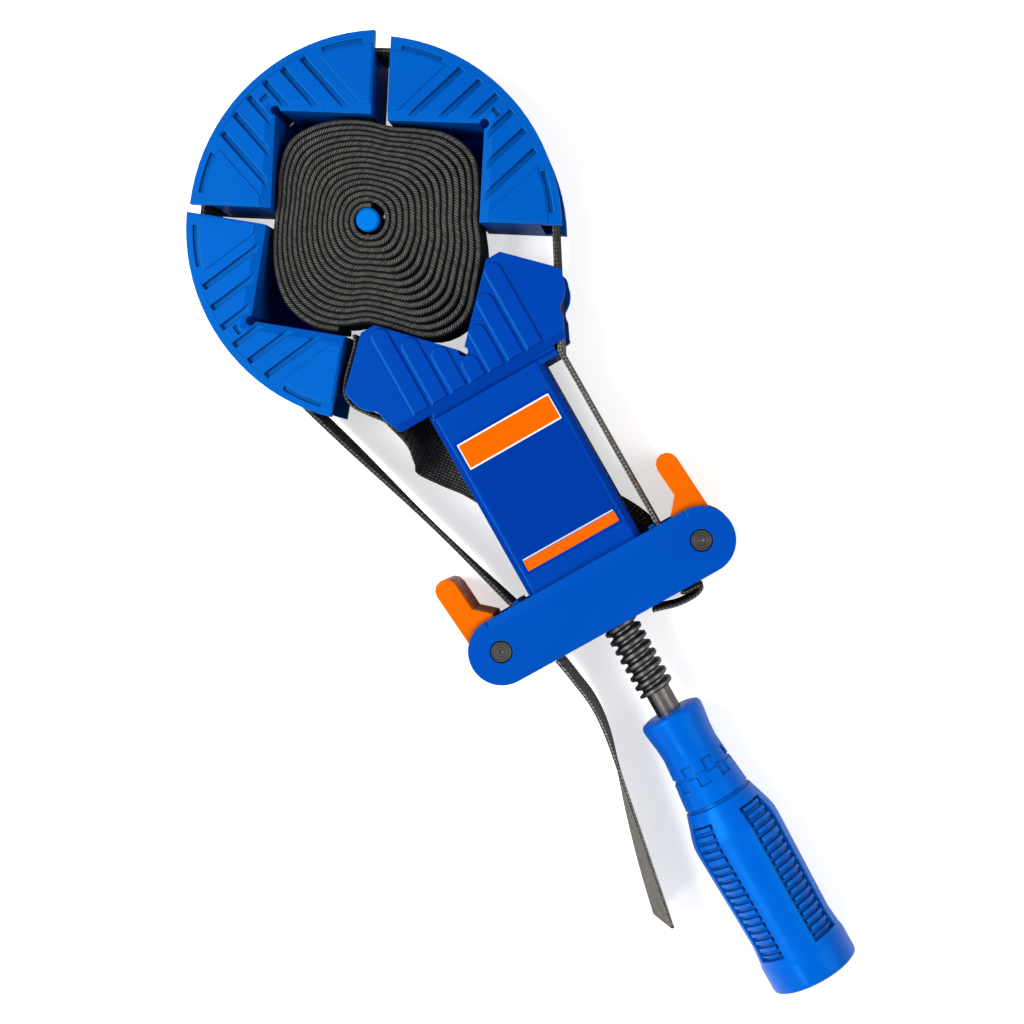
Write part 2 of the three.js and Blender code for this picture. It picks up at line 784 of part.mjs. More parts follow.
function handleCrossPin() {
  const half = gripRadius(crossPinY) - seatGap * 2;
  return named('handle_cross_pin', post(0, crossPinY, crossPinRadius, screwZ - half, screwZ + half, 12),
    material(0x6a6c70, 0.35, 0.9));
}

// Crossbar: two plates with the nut, the pins and the strap guides between them

function stadium(radius) {
  const shape = new THREE.Shape();
  shape.absarc(pinX, crossbarY, radius, -Math.PI / 2, Math.PI / 2, false);
  shape.absarc(-pinX, crossbarY, radius, Math.PI / 2, Math.PI * 3 / 2, false);
  return shape;
}

function crossbarEdgeBevel() {
  const shape = outline([
    [crossbarTopY - crossbarBevel, crossbarTop],
    [crossbarTopY + overrun, crossbarTop - crossbarBevelDepth * (crossbarBevel + overrun) / crossbarBevel],
    [crossbarTopY + overrun, crossbarTop + overrun],
    [crossbarTopY - crossbarBevel, crossbarTop + overrun],
  ]);
  const geometry = new THREE.ExtrudeGeometry(shape, { depth: pinX * 2, bevelEnabled: false });
  geometry.rotateX(Math.PI / 2);
  geometry.rotateZ(Math.PI / 2);
  geometry.translate(-pinX, 0, 0);
  return toSolid(geometry);
}

// The wall that the strap slides along, inboard of each cam
function strapGuide(side) {
  const clear = strapThick / 2 + strapGap;
  const topX = slotTopX - clear;
  const endX = slotEndX - clear;
  const shape = outline([
    [side * endX, crossbarEndY],
    [side * topX, crossbarTopY + guideProud],
    [side * (topX - guideThick), crossbarTopY + guideProud],
    [side * (endX - guideThick), crossbarEndY],
  ]);
  return slab(shape, plateLowZ + seatGap, plateTopZ + weld);
}

function nutBoss() {
  const boss = block(-bossHalf, bossHalf, crossbarEndY, bossTopY, plateLowZ + seatGap, plateTopZ + weld);
  const pocket = block(-nutHalf - seatGap, nutHalf + seatGap, nutEndY - seatGap, bossTopY + overrun,
    plateLowZ - overrun, plateTopZ);
  const wayThrough = turnedAlongY([
    [0, crossbarEndY - overrun], [screwRadius + runGap * 2, crossbarEndY - overrun],
    [screwRadius + runGap * 2, bossTopY + overrun], [0, bossTopY + overrun],
  ], 28, 0, screwZ);
  return without(boss, [pocket, wayThrough]);
}

const crossbarBolts = [-1, 1].map((side) => [
  side * (nutHalf + bossHalf) / 2, (crossbarEndY + bossTopY) / 2,
]);

function crossbarFront() {
  const plate = slab(stadium(crossbarHalf), plateTopZ, crossbarTop, 10);
  const solid = joined([plate, nutBoss(), strapGuide(-1), strapGuide(1)]);
  const cutters = [crossbarEdgeBevel()];
  for (const side of [-1, 1]) {
    cutters.push(post(side * pinX, crossbarY, pinRadius + runGap, plateTopZ - overrun, crossbarTop + overrun, 24));
  }
  for (const [x, y] of crossbarBolts) {
    cutters.push(post(x, y, boltRadius + seatGap, plateLowZ, crossbarLow + boltLength + seatGap, 12));
  }
  return named('crossbar_front', without(solid, cutters), material(0x0a52c8, 0.42, 0));
}

function crossbarBack() {
  const plate = slab(stadium(crossbarHalf), crossbarLow, plateLowZ, 10);
  const cutters = [];
  for (const side of [-1, 1]) {
    cutters.push(post(side * pinX, crossbarY, pinRadius + runGap, crossbarLow - overrun, plateLowZ + overrun, 24));
  }
  for (const [x, y] of crossbarBolts) {
    cutters.push(turnedUpright([
      [0, crossbarLow - overrun], [boltHead + seatGap, crossbarLow - overrun],
      [boltHead + seatGap, crossbarLow + boltHeadHigh + seatGap],
      [boltRadius + seatGap, crossbarLow + boltHeadHigh + seatGap],
      [boltRadius + seatGap, plateLowZ + overrun], [0, plateLowZ + overrun],
    ], 12, x, y));
  }
  return named('crossbar_back', without(plate, cutters), material(0x0a3fa8, 0.5, 0));
}

function crossbarScrews() {
  return crossbarBolts.map(([x, y], i) => named(`crossbar_screw_${i + 1}`,
    bolt(x, y, crossbarLow, boltLength), material(0x55585c, 0.35, 0.9)));
}

function screwNut() {
  const nut = block(-nutHalf, nutHalf, nutEndY, nutTopY, plateLowZ + seatGap, plateTopZ - seatGap);
  const hole = turnedAlongY([
    [0, nutEndY - overrun], [screwRadius + runGap, nutEndY - overrun],
    [screwRadius + runGap, nutTopY + overrun], [0, nutTopY + overrun],
  ], 28, 0, screwZ);
  return named('screw_nut', nut.subtract(hole), material(0x9a9488, 0.4, 0.85));
}

// Cam levers and their pins

// The cam's radius at a turn away from the strap's side, growing the way that
// the strap's own pull turns it
function camAt(turn) {
  return camRadius + camRise * THREE.MathUtils.clamp(turn / camSpread, -1, camGrowShare);
}

function leverPlan(side) {
  const lean = Math.atan2(slotTopX - slotEndX, crossbarTopY - crossbarEndY);
  const facing = Math.PI - lean;
  const points = [];
  for (let i = 0; i <= camSteps; i += 1) {
    const turn = camSpread * THREE.MathUtils.lerp(camStartShare, camEndShare, i / camSteps);
    const tooth = i > 2 && i < camSteps - 3 && i % 2 ? toothDepth : 0;
    const angle = facing + THREE.MathUtils.degToRad(turn);
    points.push([Math.cos(angle) * (camAt(turn) - tooth), Math.sin(angle) * (camAt(turn) - tooth)]);
  }
  for (let i = 0; i <= 4; i += 1) {
    const angle = THREE.MathUtils.degToRad(THREE.MathUtils.lerp(heelStartTurn, heelEndTurn, i / 4));
    points.push([Math.cos(angle) * camHeel, Math.sin(angle) * camHeel]);
  }
  for (let i = 0; i <= 6; i += 1) {
    const angle = Math.PI * i / 6;
    points.push([leverOffset + Math.cos(angle) * leverHalf, leverTip + Math.sin(angle) * leverHalf]);
  }
  points.push([leverOffset - leverHalf, flareLeverTopY]);
  points.push([flareLeverX, flareLeverY]);
  return outline(points.map(([x, y]) => [side * x, y]));
}

function camLever(name, side) {
  const low = plateLowZ + runGap;
  const high = plateTopZ - runGap;
  const body = slab(leverPlan(side), low, high);
  const bore = post(0, 0, pinRadius + runGap, low - overrun, high + overrun, 24);
  const bay = post(0, 0, springPocket, low - overrun, low + springBay, 24);
  const mesh = named(name, without(body, [bore, bay]), material(0xff7300, 0.42, 0));
  mesh.position.set(side * pinX, crossbarY, 0);
  mesh.rotation.z = THREE.MathUtils.degToRad(leverRest);
  return mesh;
}

function leverPin(name, side) {
  const grooveLow = crossbarLow - clipThick - seatGap * 2;
  const low = grooveLow - pinProud;
  const top = crossbarTop + pinProud;
  const solid = turnedUpright([
    [0, low],
    [pinRadius, low],
    [pinRadius, grooveLow],
    [pinNeck, grooveLow],
    [pinNeck, crossbarLow],
    [pinRadius, crossbarLow],
    [pinRadius, top - pinProud / 2],
    [pinRadius - pinProud / 2, top],
    [pinDimple, top],
    [0, top - pinDimple],
  ], 24, side * pinX, crossbarY);
  return named(name, solid, material(0x4c4e52, 0.35, 0.9));
}

function pinClip(name, side) {
  const inner = pinNeck + seatGap;
  const low = crossbarLow - clipThick - seatGap;
  const ring = turnedUpright([
    [inner, low], [clipRadius, low], [clipRadius, low + clipThick], [inner, low + clipThick], [inner, low],
  ], 20, side * pinX, crossbarY);
  const mouth = block(side * pinX - pinNeck * mouthShare, side * pinX + pinNeck * mouthShare,
    crossbarY - clipRadius - overrun, crossbarY, low - overrun, low + clipThick + overrun);
  return named(name, ring.subtract(mouth), material(0x3a3c40, 0.4, 0.9));
}

class SpringLine extends THREE.Curve {
  constructor(radius, pitch, turns) {
    super();
    Object.assign(this, { radius, pitch, turns });
  }

  getPoint(t) {
    const angle = t * this.turns * Math.PI * 2;
    return new THREE.Vector3(Math.cos(angle) * this.radius, Math.sin(angle) * this.radius,
      t * this.turns * this.pitch);
  }
}

function leverSpring(name, side) {
  const low = plateLowZ + springWire / 2 + seatGap;
  const pitch = (springBay - springWire - seatGap) / springTurns;
  const shape = new THREE.Shape();
  for (let i = 0; i < 6; i += 1) {
    const angle = Math.PI * 2 * i / 6;
    const corner = [Math.cos(angle) * springWire / 2, Math.sin(angle) * springWire / 2];
    if (i === 0) shape.moveTo(...corner);
    else shape.lineTo(...corner);
  }
  const geometry = new THREE.ExtrudeGeometry(shape, {
    steps: springTurns * 16, extrudePath: new SpringLine(springRadius, pitch, springTurns),
  });
  geometry.translate(side * pinX, crossbarY, low);
  return named(name, toSolid(geometry), material(0x77797d, 0.3, 0.95));
}

// Strap pieces

const onEdge = new THREE.Vector3(0, 0, 1);

function edgeStation(x, y, z) {
  return { centre: new THREE.Vector3(x, y, z), across: onEdge };
}

const loopX = jawPlaces.reduce((sum, place) => sum + place.x, 0) / jawPlaces.length;
const loopY = jawPlaces.reduce((sum, place) => sum + place.y, 0) / jawPlaces.length;
const jawSpread = Math.max(...jawPlaces.map((place) => Math.hypot(place.x - loopX, place.y - loopY)));
const loopRadius = webRadius + jawSpread * loopSpreadShare + strapThick / 2 + strapGap;

// Where a straight run to a point leaves the loop, on one side or the other
function leavingTurn(x, y, side) {
  const toPoint = Math.atan2(y - loopY, x - loopX);
  const swing = Math.acos(loopRadius / Math.hypot(x - loopX, y - loopY));
  return toPoint + side * swing;
}

const rightBendX = coreRightShares[3][0] * shoulderX + strapThick / 2 + strapGap;
const rightBendY = headLowY - headBevel;
const leftTopX = -slotTopX;

function strapLoop() {
  const start = leavingTurn(rightBendX, rightBendY, 1);
  const end = leavingTurn(leftTopX, crossbarTopY, -1) + Math.PI * 2;
  const stations = [];
  const steps = 44;
  for (let i = 0; i <= steps; i += 1) {
    const turn = THREE.MathUtils.lerp(start, end, i / steps);
    stations.push(edgeStation(loopX + Math.cos(turn) * loopRadius, loopY + Math.sin(turn) * loopRadius,
      strapMidZ));
  }
  const last = stations[stations.length - 1].centre;
  const share = (last.y - leftJoinY) / (last.y - crossbarTopY);
  stations.push(edgeStation(THREE.MathUtils.lerp(last.x, leftTopX, share), leftJoinY, strapMidZ));
  const first = stations[0].centre;
  stations.unshift(edgeStation(THREE.MathUtils.lerp(first.x, rightBendX, rightJoinShare),
    THREE.MathUtils.lerp(first.y, rightBendY, rightJoinShare), strapMidZ));
  return named('strap_loop', band(stations, strapWidth, strapThick), material(0x33312e, 0.9, 0));
}

function strapLeftRun() {
  const end = leavingTurn(leftTopX, crossbarTopY, -1);
  const fromX = loopX + Math.cos(end) * loopRadius;
  const fromY = loopY + Math.sin(end) * loopRadius;
  const startY = leftJoinY - seatGap;
  const startX = THREE.MathUtils.lerp(fromX, leftTopX, (fromY - startY) / (fromY - crossbarTopY));
  const stations = [
    edgeStation(startX, startY, strapMidZ),
    edgeStation((startX + leftTopX) / 2, (startY + crossbarTopY) / 2, strapMidZ),
    edgeStation(leftTopX, crossbarTopY, crossbarMidZ),
    edgeStation(-slotEndX, crossbarEndY, crossbarMidZ),
  ];
  return named('strap_left_run', band(stations, strapWidth, strapThick), material(0x33312e, 0.9, 0));
}

function strapRightRun() {
  const start = leavingTurn(rightBendX, rightBendY, 1);
  const fromX = loopX + Math.cos(start) * loopRadius;
  const fromY = loopY + Math.sin(start) * loopRadius;
  const length = Math.hypot(fromX - rightBendX, fromY - rightBendY);
  const share = rightJoinShare + seatGap / length;
  const stations = [
    edgeStation(THREE.MathUtils.lerp(fromX, rightBendX, share),
      THREE.MathUtils.lerp(fromY, rightBendY, share), strapMidZ),
    edgeStation(rightBendX, rightBendY, strapMidZ),
    edgeStation(slotTopX, crossbarTopY, crossbarMidZ),
    edgeStation(slotEndX, crossbarEndY, crossbarMidZ),
  ];
  return named('strap_right_run', band(stations, strapWidth, strapThick), material(0x33312e, 0.9, 0));
}

function rolledStrap(name, route, steps) {
  return named(name, band(rolledStations(route, steps), strapWidth, strapThick), material(0x33312e, 0.9, 0));
}

// The coil: one unbroken strap, round at the spindle, that grows into the last
// turn's outline
function coilStations() {
  const startRadius = spindleRadius + strapGap + strapThick / 2;
  const meanShare = coilOutlineShares.reduce((sum, share) => sum + share) / coilSteps;
  const stations = [];
  for (let step = 0; step <= coilTurnSteps; step += 1) {
    const place = (coilStartStep + step) % coilSteps;
    const wound = step / coilTurnSteps;
    const shape = THREE.MathUtils.lerp(meanShare, coilOutlineShares[place], wound ** coilGrowShare);
    const radius = THREE.MathUtils.lerp(startRadius, shape * coilReach - strapThick / 2, wound);
    const turn = Math.PI * 2 * place / coilSteps;
    stations.push(edgeStation(spindleX + Math.cos(turn) * radius, spindleY + Math.sin(turn) * radius,
      coilFloor + strapWidth / 2));
  }
  return stations;
}

function leastTurnGap(stations) {
  const flat = stations.map(({ centre }) => new THREE.Vector2(centre.x, centre.y));
  let least = Infinity;
  for (let i = 0; i < flat.length; i += 1) {
    for (let k = i + coilSteps / 2; k + 1 < flat.length && k < i + coilSteps * 2; k += 1) {
      const edge = flat[k + 1].clone().sub(flat[k]);
      const toPoint = flat[i].clone().sub(flat[k]);
      const share = THREE.MathUtils.clamp(toPoint.dot(edge) / edge.lengthSq(), 0, 1);
      least = Math.min(least, toPoint.addScaledVector(edge, -share).length());
    }
  }
  return least - strapThick;
}

function strapCoil() {
  const stations = coilStations();
  console.log(`least gap between turns of the coil: ${leastTurnGap(stations).toFixed(3)} mm`);
  return named('strap_coil', band(stations, strapWidth, strapThick), material(0x2e2c2a, 0.9, 0));
}

function strapSpindle() {
  const solid = turnedUpright([
    [0, 0], [spindleRadius, 0], [spindleRadius, spindleTop - spindleEdge],
    [spindleRadius - spindleEdge, spindleTop], [0, spindleTop],
  ], 24, spindleX, spindleY);
  return named('strap_spindle', solid, material(0x1a7cf0, 0.4, 0));
}

// The whole clamp

const clamp = new THREE.Group();
clamp.add(fixedJaw(), stemBackCover(), ...stemCoverScrews());
clamp.add(...jawPlaces.map(cornerJaw));
clamp.add(leadScrew(), retainingRing(), thrustPad(), handleGrip(), handleCrossPin());
clamp.add(crossbarFront(), crossbarBack(), ...crossbarScrews(), screwNut());
for (const [word, side] of [['left', -1], ['right', 1]]) {
  clamp.add(camLever(`cam_lever_${word}`, side));
  clamp.add(leverPin(`lever_pin_${word}`, side));
  clamp.add(pinClip(`pin_clip_${word}`, side));
  clamp.add(leverSpring(`lever_spring_${word}`, side));
}
clamp.add(strapCoil(), strapSpindle(), strapLoop(), strapLeftRun(), strapRightRun());
clamp.add(rolledStrap('strap_tail', tailRoute, 16));
clamp.add(rolledStrap('strap_return', returnRoute, 46));
clamp.add(rolledStrap('strap_fold', foldRoute, 16));

export default clamp;
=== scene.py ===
# %% [markdown]
# A band clamp with a hand screw: four corner jaws inside a loop of webbing,
# a stem with a lead screw, and a crossbar with two cam levers that grips the
# strap. The frame holds every rigid piece at its real size, in metres, with
# +Y from the handle to the jaws and +Z up. This script dresses that frame:
# it gives the moulded pieces soft edges, winds the spare strap, cuts the
# screw's thread, moulds the handle, and gives each piece its material.

# %% Load the frame
import math
import random

import bmesh
import bpy
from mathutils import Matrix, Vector


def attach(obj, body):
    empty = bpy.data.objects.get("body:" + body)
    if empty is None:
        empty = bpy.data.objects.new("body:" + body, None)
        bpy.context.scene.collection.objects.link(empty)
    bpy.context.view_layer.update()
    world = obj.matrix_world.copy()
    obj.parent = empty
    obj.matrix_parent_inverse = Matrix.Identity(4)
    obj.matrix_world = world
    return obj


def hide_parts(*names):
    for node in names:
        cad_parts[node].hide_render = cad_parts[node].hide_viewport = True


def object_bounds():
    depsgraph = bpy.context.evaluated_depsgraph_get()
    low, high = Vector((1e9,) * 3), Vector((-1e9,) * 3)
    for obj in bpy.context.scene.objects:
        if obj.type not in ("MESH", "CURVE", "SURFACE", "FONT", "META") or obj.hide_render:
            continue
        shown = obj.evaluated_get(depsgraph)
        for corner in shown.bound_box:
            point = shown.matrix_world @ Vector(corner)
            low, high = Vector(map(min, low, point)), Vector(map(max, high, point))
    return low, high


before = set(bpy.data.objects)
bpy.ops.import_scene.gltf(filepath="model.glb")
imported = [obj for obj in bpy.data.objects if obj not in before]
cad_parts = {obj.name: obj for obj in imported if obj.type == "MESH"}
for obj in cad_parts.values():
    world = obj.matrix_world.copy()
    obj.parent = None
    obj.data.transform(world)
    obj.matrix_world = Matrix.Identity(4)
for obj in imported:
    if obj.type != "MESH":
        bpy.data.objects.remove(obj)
cad_low, cad_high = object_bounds()
MM = 0.001
random.seed(7)
print("frame size in mm:", [round(v / MM, 1) for v in cad_high - cad_low])

# %% [markdown]
# Small helpers come first. A photograph's colours are read in sRGB, while
# shaders add up light in linear values, so one function turns a hex colour
# to linear, and one makes such a colour lighter or darker. Another adds a node
# with its settings and links.


# %% Helpers for colours and nodes
def linear(hex_colour):
    """An sRGB colour such as "0048b8" as linear RGBA."""
    parts = [int(hex_colour[i : i + 2], 16) / 255 for i in (0, 2, 4)]
    return (*[c / 12.92 if c <= 0.04045 else ((c + 0.055) / 1.055) ** 2.4 for c in parts], 1)


def scaled(colour, factor):
    """A linear colour made lighter or darker by a factor."""
    return [c * factor for c in colour[:3]] + [1]


def add(tree, kind, values=None, links=None, **settings):
    """Adds a node, sets its settings and input values, and links sockets to its inputs."""
    made = tree.nodes.new(kind)
    for name, value in settings.items():
        setattr(made, name, value)
    for name, value in (values or {}).items():
        made.inputs[name].default_value = value
    for name, socket in (links or {}).items():
        tree.links.new(socket, made.inputs[name])
    return made


def new_material(name):
    """An empty material, its tree, and its Principled shader linked to the output."""
    material = bpy.data.materials.new(name)
    material.use_nodes = True
    tree = material.node_tree
    tree.nodes.clear()
    shader = add(tree, "ShaderNodeBsdfPrincipled")
    add(tree, "ShaderNodeOutputMaterial", links={"Surface": shader.outputs["BSDF"]})
    return material, tree, shader


# %% [markdown]
# The photograph looks down on the clamp from about 64 cm, a few degrees off
# the vertical, so the jaws' inner walls show on their left sides only. The body
# lies turned in the picture, and the camera is turned the other way instead,
# because the frame stays where it is.

# %% Camera
CAMERA_PLACE = Vector((47.96, -69.23, 640.0)) * MM
CAMERA_TURN = [math.radians(a) for a in (-1.522, 5.749, -29.523)]
camera = bpy.data.objects.new("camera", bpy.data.cameras.new("camera"))
camera.data.lens = 58.48
camera.data.sensor_width = 36.0
camera.location = CAMERA_PLACE
camera.rotation_euler = CAMERA_TURN
bpy.context.scene.collection.objects.link(camera)
bpy.context.scene.camera = camera

# %% [markdown]
# The studio is a pale floor under soft light. A broad lamp at the upper left
# of the picture makes the long highlights on the handle, a weaker one fills
# the shade, a small low one draws the light along the handle's back, and the
# world gives the rest. The floor glows a little, for the camera alone, so the
# shadows on it stay faint as on a light table. Under the three deep corners of
# the movable jaws, and only inside the ring, it is painted dark blue. That
# stands for the jaws' shaded walls in the photograph and isn't a real colour
# of the floor.

# %% Floor, lamps and world
FLOOR_HALF = 3.0
FLOOR_GLOW = 0.6
DEEP_CORNERS = [(-16.8, 120.0), (47.9, 75.8), (-63.6, 57.0)]
DEEP_FROM, DEEP_END = 27 * MM, 31 * MM
RING_CENTRE = (-6.3, 63.0)
RING_FROM, RING_END = 59 * MM, 61 * MM
FLOOR_DROP = 0.2 * MM


def lamp(name, place, aim, size, power):
    """A square area lamp that points at a place."""
    data = bpy.data.lights.new(name, "AREA")
    data.size = size
    data.energy = power
    made = bpy.data.objects.new(name, data)
    made.location = place
    made.rotation_euler = (Vector(aim) - Vector(place)).to_track_quat("-Z", "Y").to_euler()
    bpy.context.scene.collection.objects.link(made)
    return made


def floor_distance(tree, where, place):
    """A socket that gives the distance from a place on the floor, which is in mm."""
    spot = (place[0] * MM, place[1] * MM, cad_low.z)
    return add(tree, "ShaderNodeVectorMath", {1: spot}, {0: where}, operation="DISTANCE").outputs["Value"]


def build_floor():
    """A big square floor just under the part, with its paper material."""
    mesh = bpy.data.meshes.new("floor")
    bm = bmesh.new()
    bmesh.ops.create_grid(bm, x_segments=1, y_segments=1, size=FLOOR_HALF)
    bmesh.ops.translate(bm, vec=(0, 0, cad_low.z - FLOOR_DROP), verts=bm.verts)
    bm.to_mesh(mesh)
    bm.free()
    floor = bpy.data.objects.new("floor", mesh)
    bpy.context.scene.collection.objects.link(floor)
    material, tree, shader = new_material("matt white paper on a light table")
    where = add(tree, "ShaderNodeTexCoord").outputs["Object"]
    nearest = floor_distance(tree, where, DEEP_CORNERS[0])
    for place in DEEP_CORNERS[1:]:
        away = floor_distance(tree, where, place)
        nearest = add(tree, "ShaderNodeMath", links={0: nearest, 1: away}, operation="MINIMUM").outputs[0]
    corner = add(tree, "ShaderNodeMapRange", {"From Min": DEEP_FROM, "From Max": DEEP_END},
                 {"Value": nearest})
    outside = add(tree, "ShaderNodeMapRange", {"From Min": RING_FROM, "From Max": RING_END},
                  {"Value": floor_distance(tree, where, RING_CENTRE)})
    open_floor = add(tree, "ShaderNodeMath", links={0: corner.outputs[0], 1: outside.outputs[0]},
                     operation="MAXIMUM")
    paper = add(tree, "ShaderNodeMix", {6: linear("0a1c7a"), 7: (0.9, 0.9, 0.9, 1)},
                {0: open_floor.outputs[0]}, data_type="RGBA")
    tree.links.new(paper.outputs[2], shader.inputs["Base Color"])
    shader.inputs["Roughness"].default_value = 0.9
    shader.inputs["Specular IOR Level"].default_value = 0.0
    shader.inputs["Emission Color"].default_value = (1, 1, 1, 1)
    path = add(tree, "ShaderNodeLightPath")
    seen = add(tree, "ShaderNodeMath", {1: FLOOR_GLOW}, {0: path.outputs["Is Camera Ray"]},
               operation="MULTIPLY")
    glow = add(tree, "ShaderNodeMath", links={0: seen.outputs[0], 1: open_floor.outputs[0]},
               operation="MULTIPLY")
    tree.links.new(glow.outputs[0], shader.inputs["Emission Strength"])
    mesh.materials.append(material)


def build_world():
    """A white world, brighter to the camera and to reflections than to the surfaces it lights."""
    world = bpy.data.worlds.new("soft white studio")
    bpy.context.scene.world = world
    world.use_nodes = True
    tree = world.node_tree
    tree.nodes.clear()
    path = add(tree, "ShaderNodeLightPath")
    seen = add(tree, "ShaderNodeMath", links={0: path.outputs["Is Camera Ray"],
                                              1: path.outputs["Is Glossy Ray"]}, operation="MAXIMUM")
    strength = add(tree, "ShaderNodeMapRange", {"To Min": 0.42, "To Max": 1.0}, {"Value": seen.outputs[0]})
    glow = add(tree, "ShaderNodeBackground", links={"Strength": strength.outputs[0]})
    add(tree, "ShaderNodeOutputWorld", links={"Surface": glow.outputs[0]})


build_floor()
build_world()
lamp("key_lamp", (-0.75, 0.35, 1.1), (0, -0.05, 0), 0.7, 17)
lamp("fill_lamp", (0.9, -0.5, 0.9), (0, -0.05, 0), 0.8, 5)
lamp("handle_lamp", (-0.5, -0.45, 0.8), (0, -0.22, 0), 0.16, 1.6)
bpy.context.scene.view_settings.view_transform = "Standard"

# %% [markdown]
# The body is injection moulded plastic in three blues and one orange. Such a
# skin is satin, with a very fine spark-eroded grain, a slight cloudiness in
# its gloss, and edges that are rounded by a few tenths of a millimetre. The
# Bevel node rounds the shading of edges that are too small to model. Where its
# normal leaves the face's own and leans to the lit side, an edge takes a thin
# painted highlight, and an occlusion node paints shade into the grooves.


# %% Moulded plastic
LIT_SIDE = (-0.75, -0.35, 0.56)


def moulded_plastic(name, colour, sheen, roughness, edge_mm=0.4, groove_shade=0.3, rim_light=0.6):
    """Satin plastic in a colour, whose reflections are tinted so that they don't wash it out, with a painted
    highlight on edges to the lit side and painted shade in grooves.
    """
    material, tree, shader = new_material(name)
    where = add(tree, "ShaderNodeTexCoord").outputs["Object"]
    cloud = add(tree, "ShaderNodeTexNoise", {"Scale": 1 / (30 * MM), "Detail": 3}, {"Vector": where})
    grain = add(tree, "ShaderNodeTexNoise", {"Scale": 1 / (0.5 * MM), "Detail": 4}, {"Vector": where})
    base = linear(colour)
    shade = add(tree, "ShaderNodeMix", {6: scaled(base, 0.9), 7: scaled(base, 1.08)},
                {0: cloud.outputs["Fac"]}, data_type="RGBA")
    gloss = add(tree, "ShaderNodeMapRange", {"To Min": roughness - 0.06, "To Max": roughness + 0.08},
                {"Value": cloud.outputs["Fac"]})
    rounded = add(tree, "ShaderNodeBevel", {"Radius": edge_mm * MM}, samples=6)
    bump = add(tree, "ShaderNodeBump", {"Strength": 0.25, "Distance": 0.03 * MM},
               {"Height": grain.outputs["Fac"], "Normal": rounded.outputs[0]})
    # Painted shade: the occlusion darkens the colour in grooves and creases.
    openness = add(tree, "ShaderNodeAmbientOcclusion", {"Distance": 2.2 * MM}, samples=6)
    occlusion_shade_factor = add(tree, "ShaderNodeMapRange",
                 {"From Min": 0.35, "From Max": 0.95, "To Min": groove_shade, "To Max": 1.0},
                 {"Value": openness.outputs["AO"]})
    # Painted highlight: edges whose rounded normal leans to the lit side take a lighter colour.
    flat = add(tree, "ShaderNodeNewGeometry").outputs["Normal"]
    fuzz_and_edge_tilt = add(tree, "ShaderNodeVectorMath", links={0: rounded.outputs[0], 1: flat},
               operation="DOT_PRODUCT")
    edge = add(tree, "ShaderNodeMapRange",
               {"From Min": 0.995, "From Max": 0.86, "To Min": 0.0, "To Max": 1.0},
               {"Value": fuzz_and_edge_tilt.outputs["Value"]})
    toward = add(tree, "ShaderNodeVectorMath", {1: LIT_SIDE}, {0: rounded.outputs[0]},
                 operation="DOT_PRODUCT")
    sided = add(tree, "ShaderNodeMapRange",
                {"From Min": 0.58, "From Max": 0.8, "To Min": 0.0, "To Max": 1.0},
                {"Value": toward.outputs["Value"]})
    rim = add(tree, "ShaderNodeMath", links={0: edge.outputs[0], 1: sided.outputs[0]}, operation="MULTIPLY")
    lit = add(tree, "ShaderNodeMix", {7: [b + (g - b) * rim_light for b, g in zip(base[:3], sheen)] + [1]},
              {0: rim.outputs[0], 6: shade.outputs[2]}, data_type="RGBA")
    shade_painted_colour = add(tree, "ShaderNodeVectorMath", links={0: lit.outputs[2], "Scale": occlusion_shade_factor.outputs[0]},
                  operation="SCALE")
    tree.links.new(shade_painted_colour.outputs[0], shader.inputs["Base Color"])
    tree.links.new(gloss.outputs[0], shader.inputs["Roughness"])
    tree.links.new(bump.outputs[0], shader.inputs["Normal"])
    shader.inputs["IOR"].default_value = 1.49
    shader.inputs["Specular Tint"].default_value = sheen
    return material


BLUE_SHEEN = (0.02, 0.42, 1.0, 1)
ORANGE_SHEEN = (1.0, 0.42, 0.02, 1)
JAW_BLUE = moulded_plastic("moulded polypropylene, bright blue", "0052b2", BLUE_SHEEN, 0.4)
FRAME_BLUE = moulded_plastic("moulded nylon, blue", "00359e", BLUE_SHEEN, 0.42, 0.5, 0.7, 0.8)
BAR_BLUE = moulded_plastic("moulded nylon, crossbar blue", "0043aa", BLUE_SHEEN, 0.4)
COVER_BLUE = moulded_plastic("moulded nylon, deep blue", "002c88", BLUE_SHEEN, 0.48)
HANDLE_BLUE = moulded_plastic("moulded polypropylene, handle blue", "005ecc", BLUE_SHEEN, 0.3, 0.3)
SPINDLE_BLUE = moulded_plastic("moulded polypropylene, spindle blue", "0070d0", BLUE_SHEEN, 0.4)
LEVER_ORANGE = moulded_plastic("moulded nylon, orange", "e46200", ORANGE_SHEEN, 0.42, 0.6)
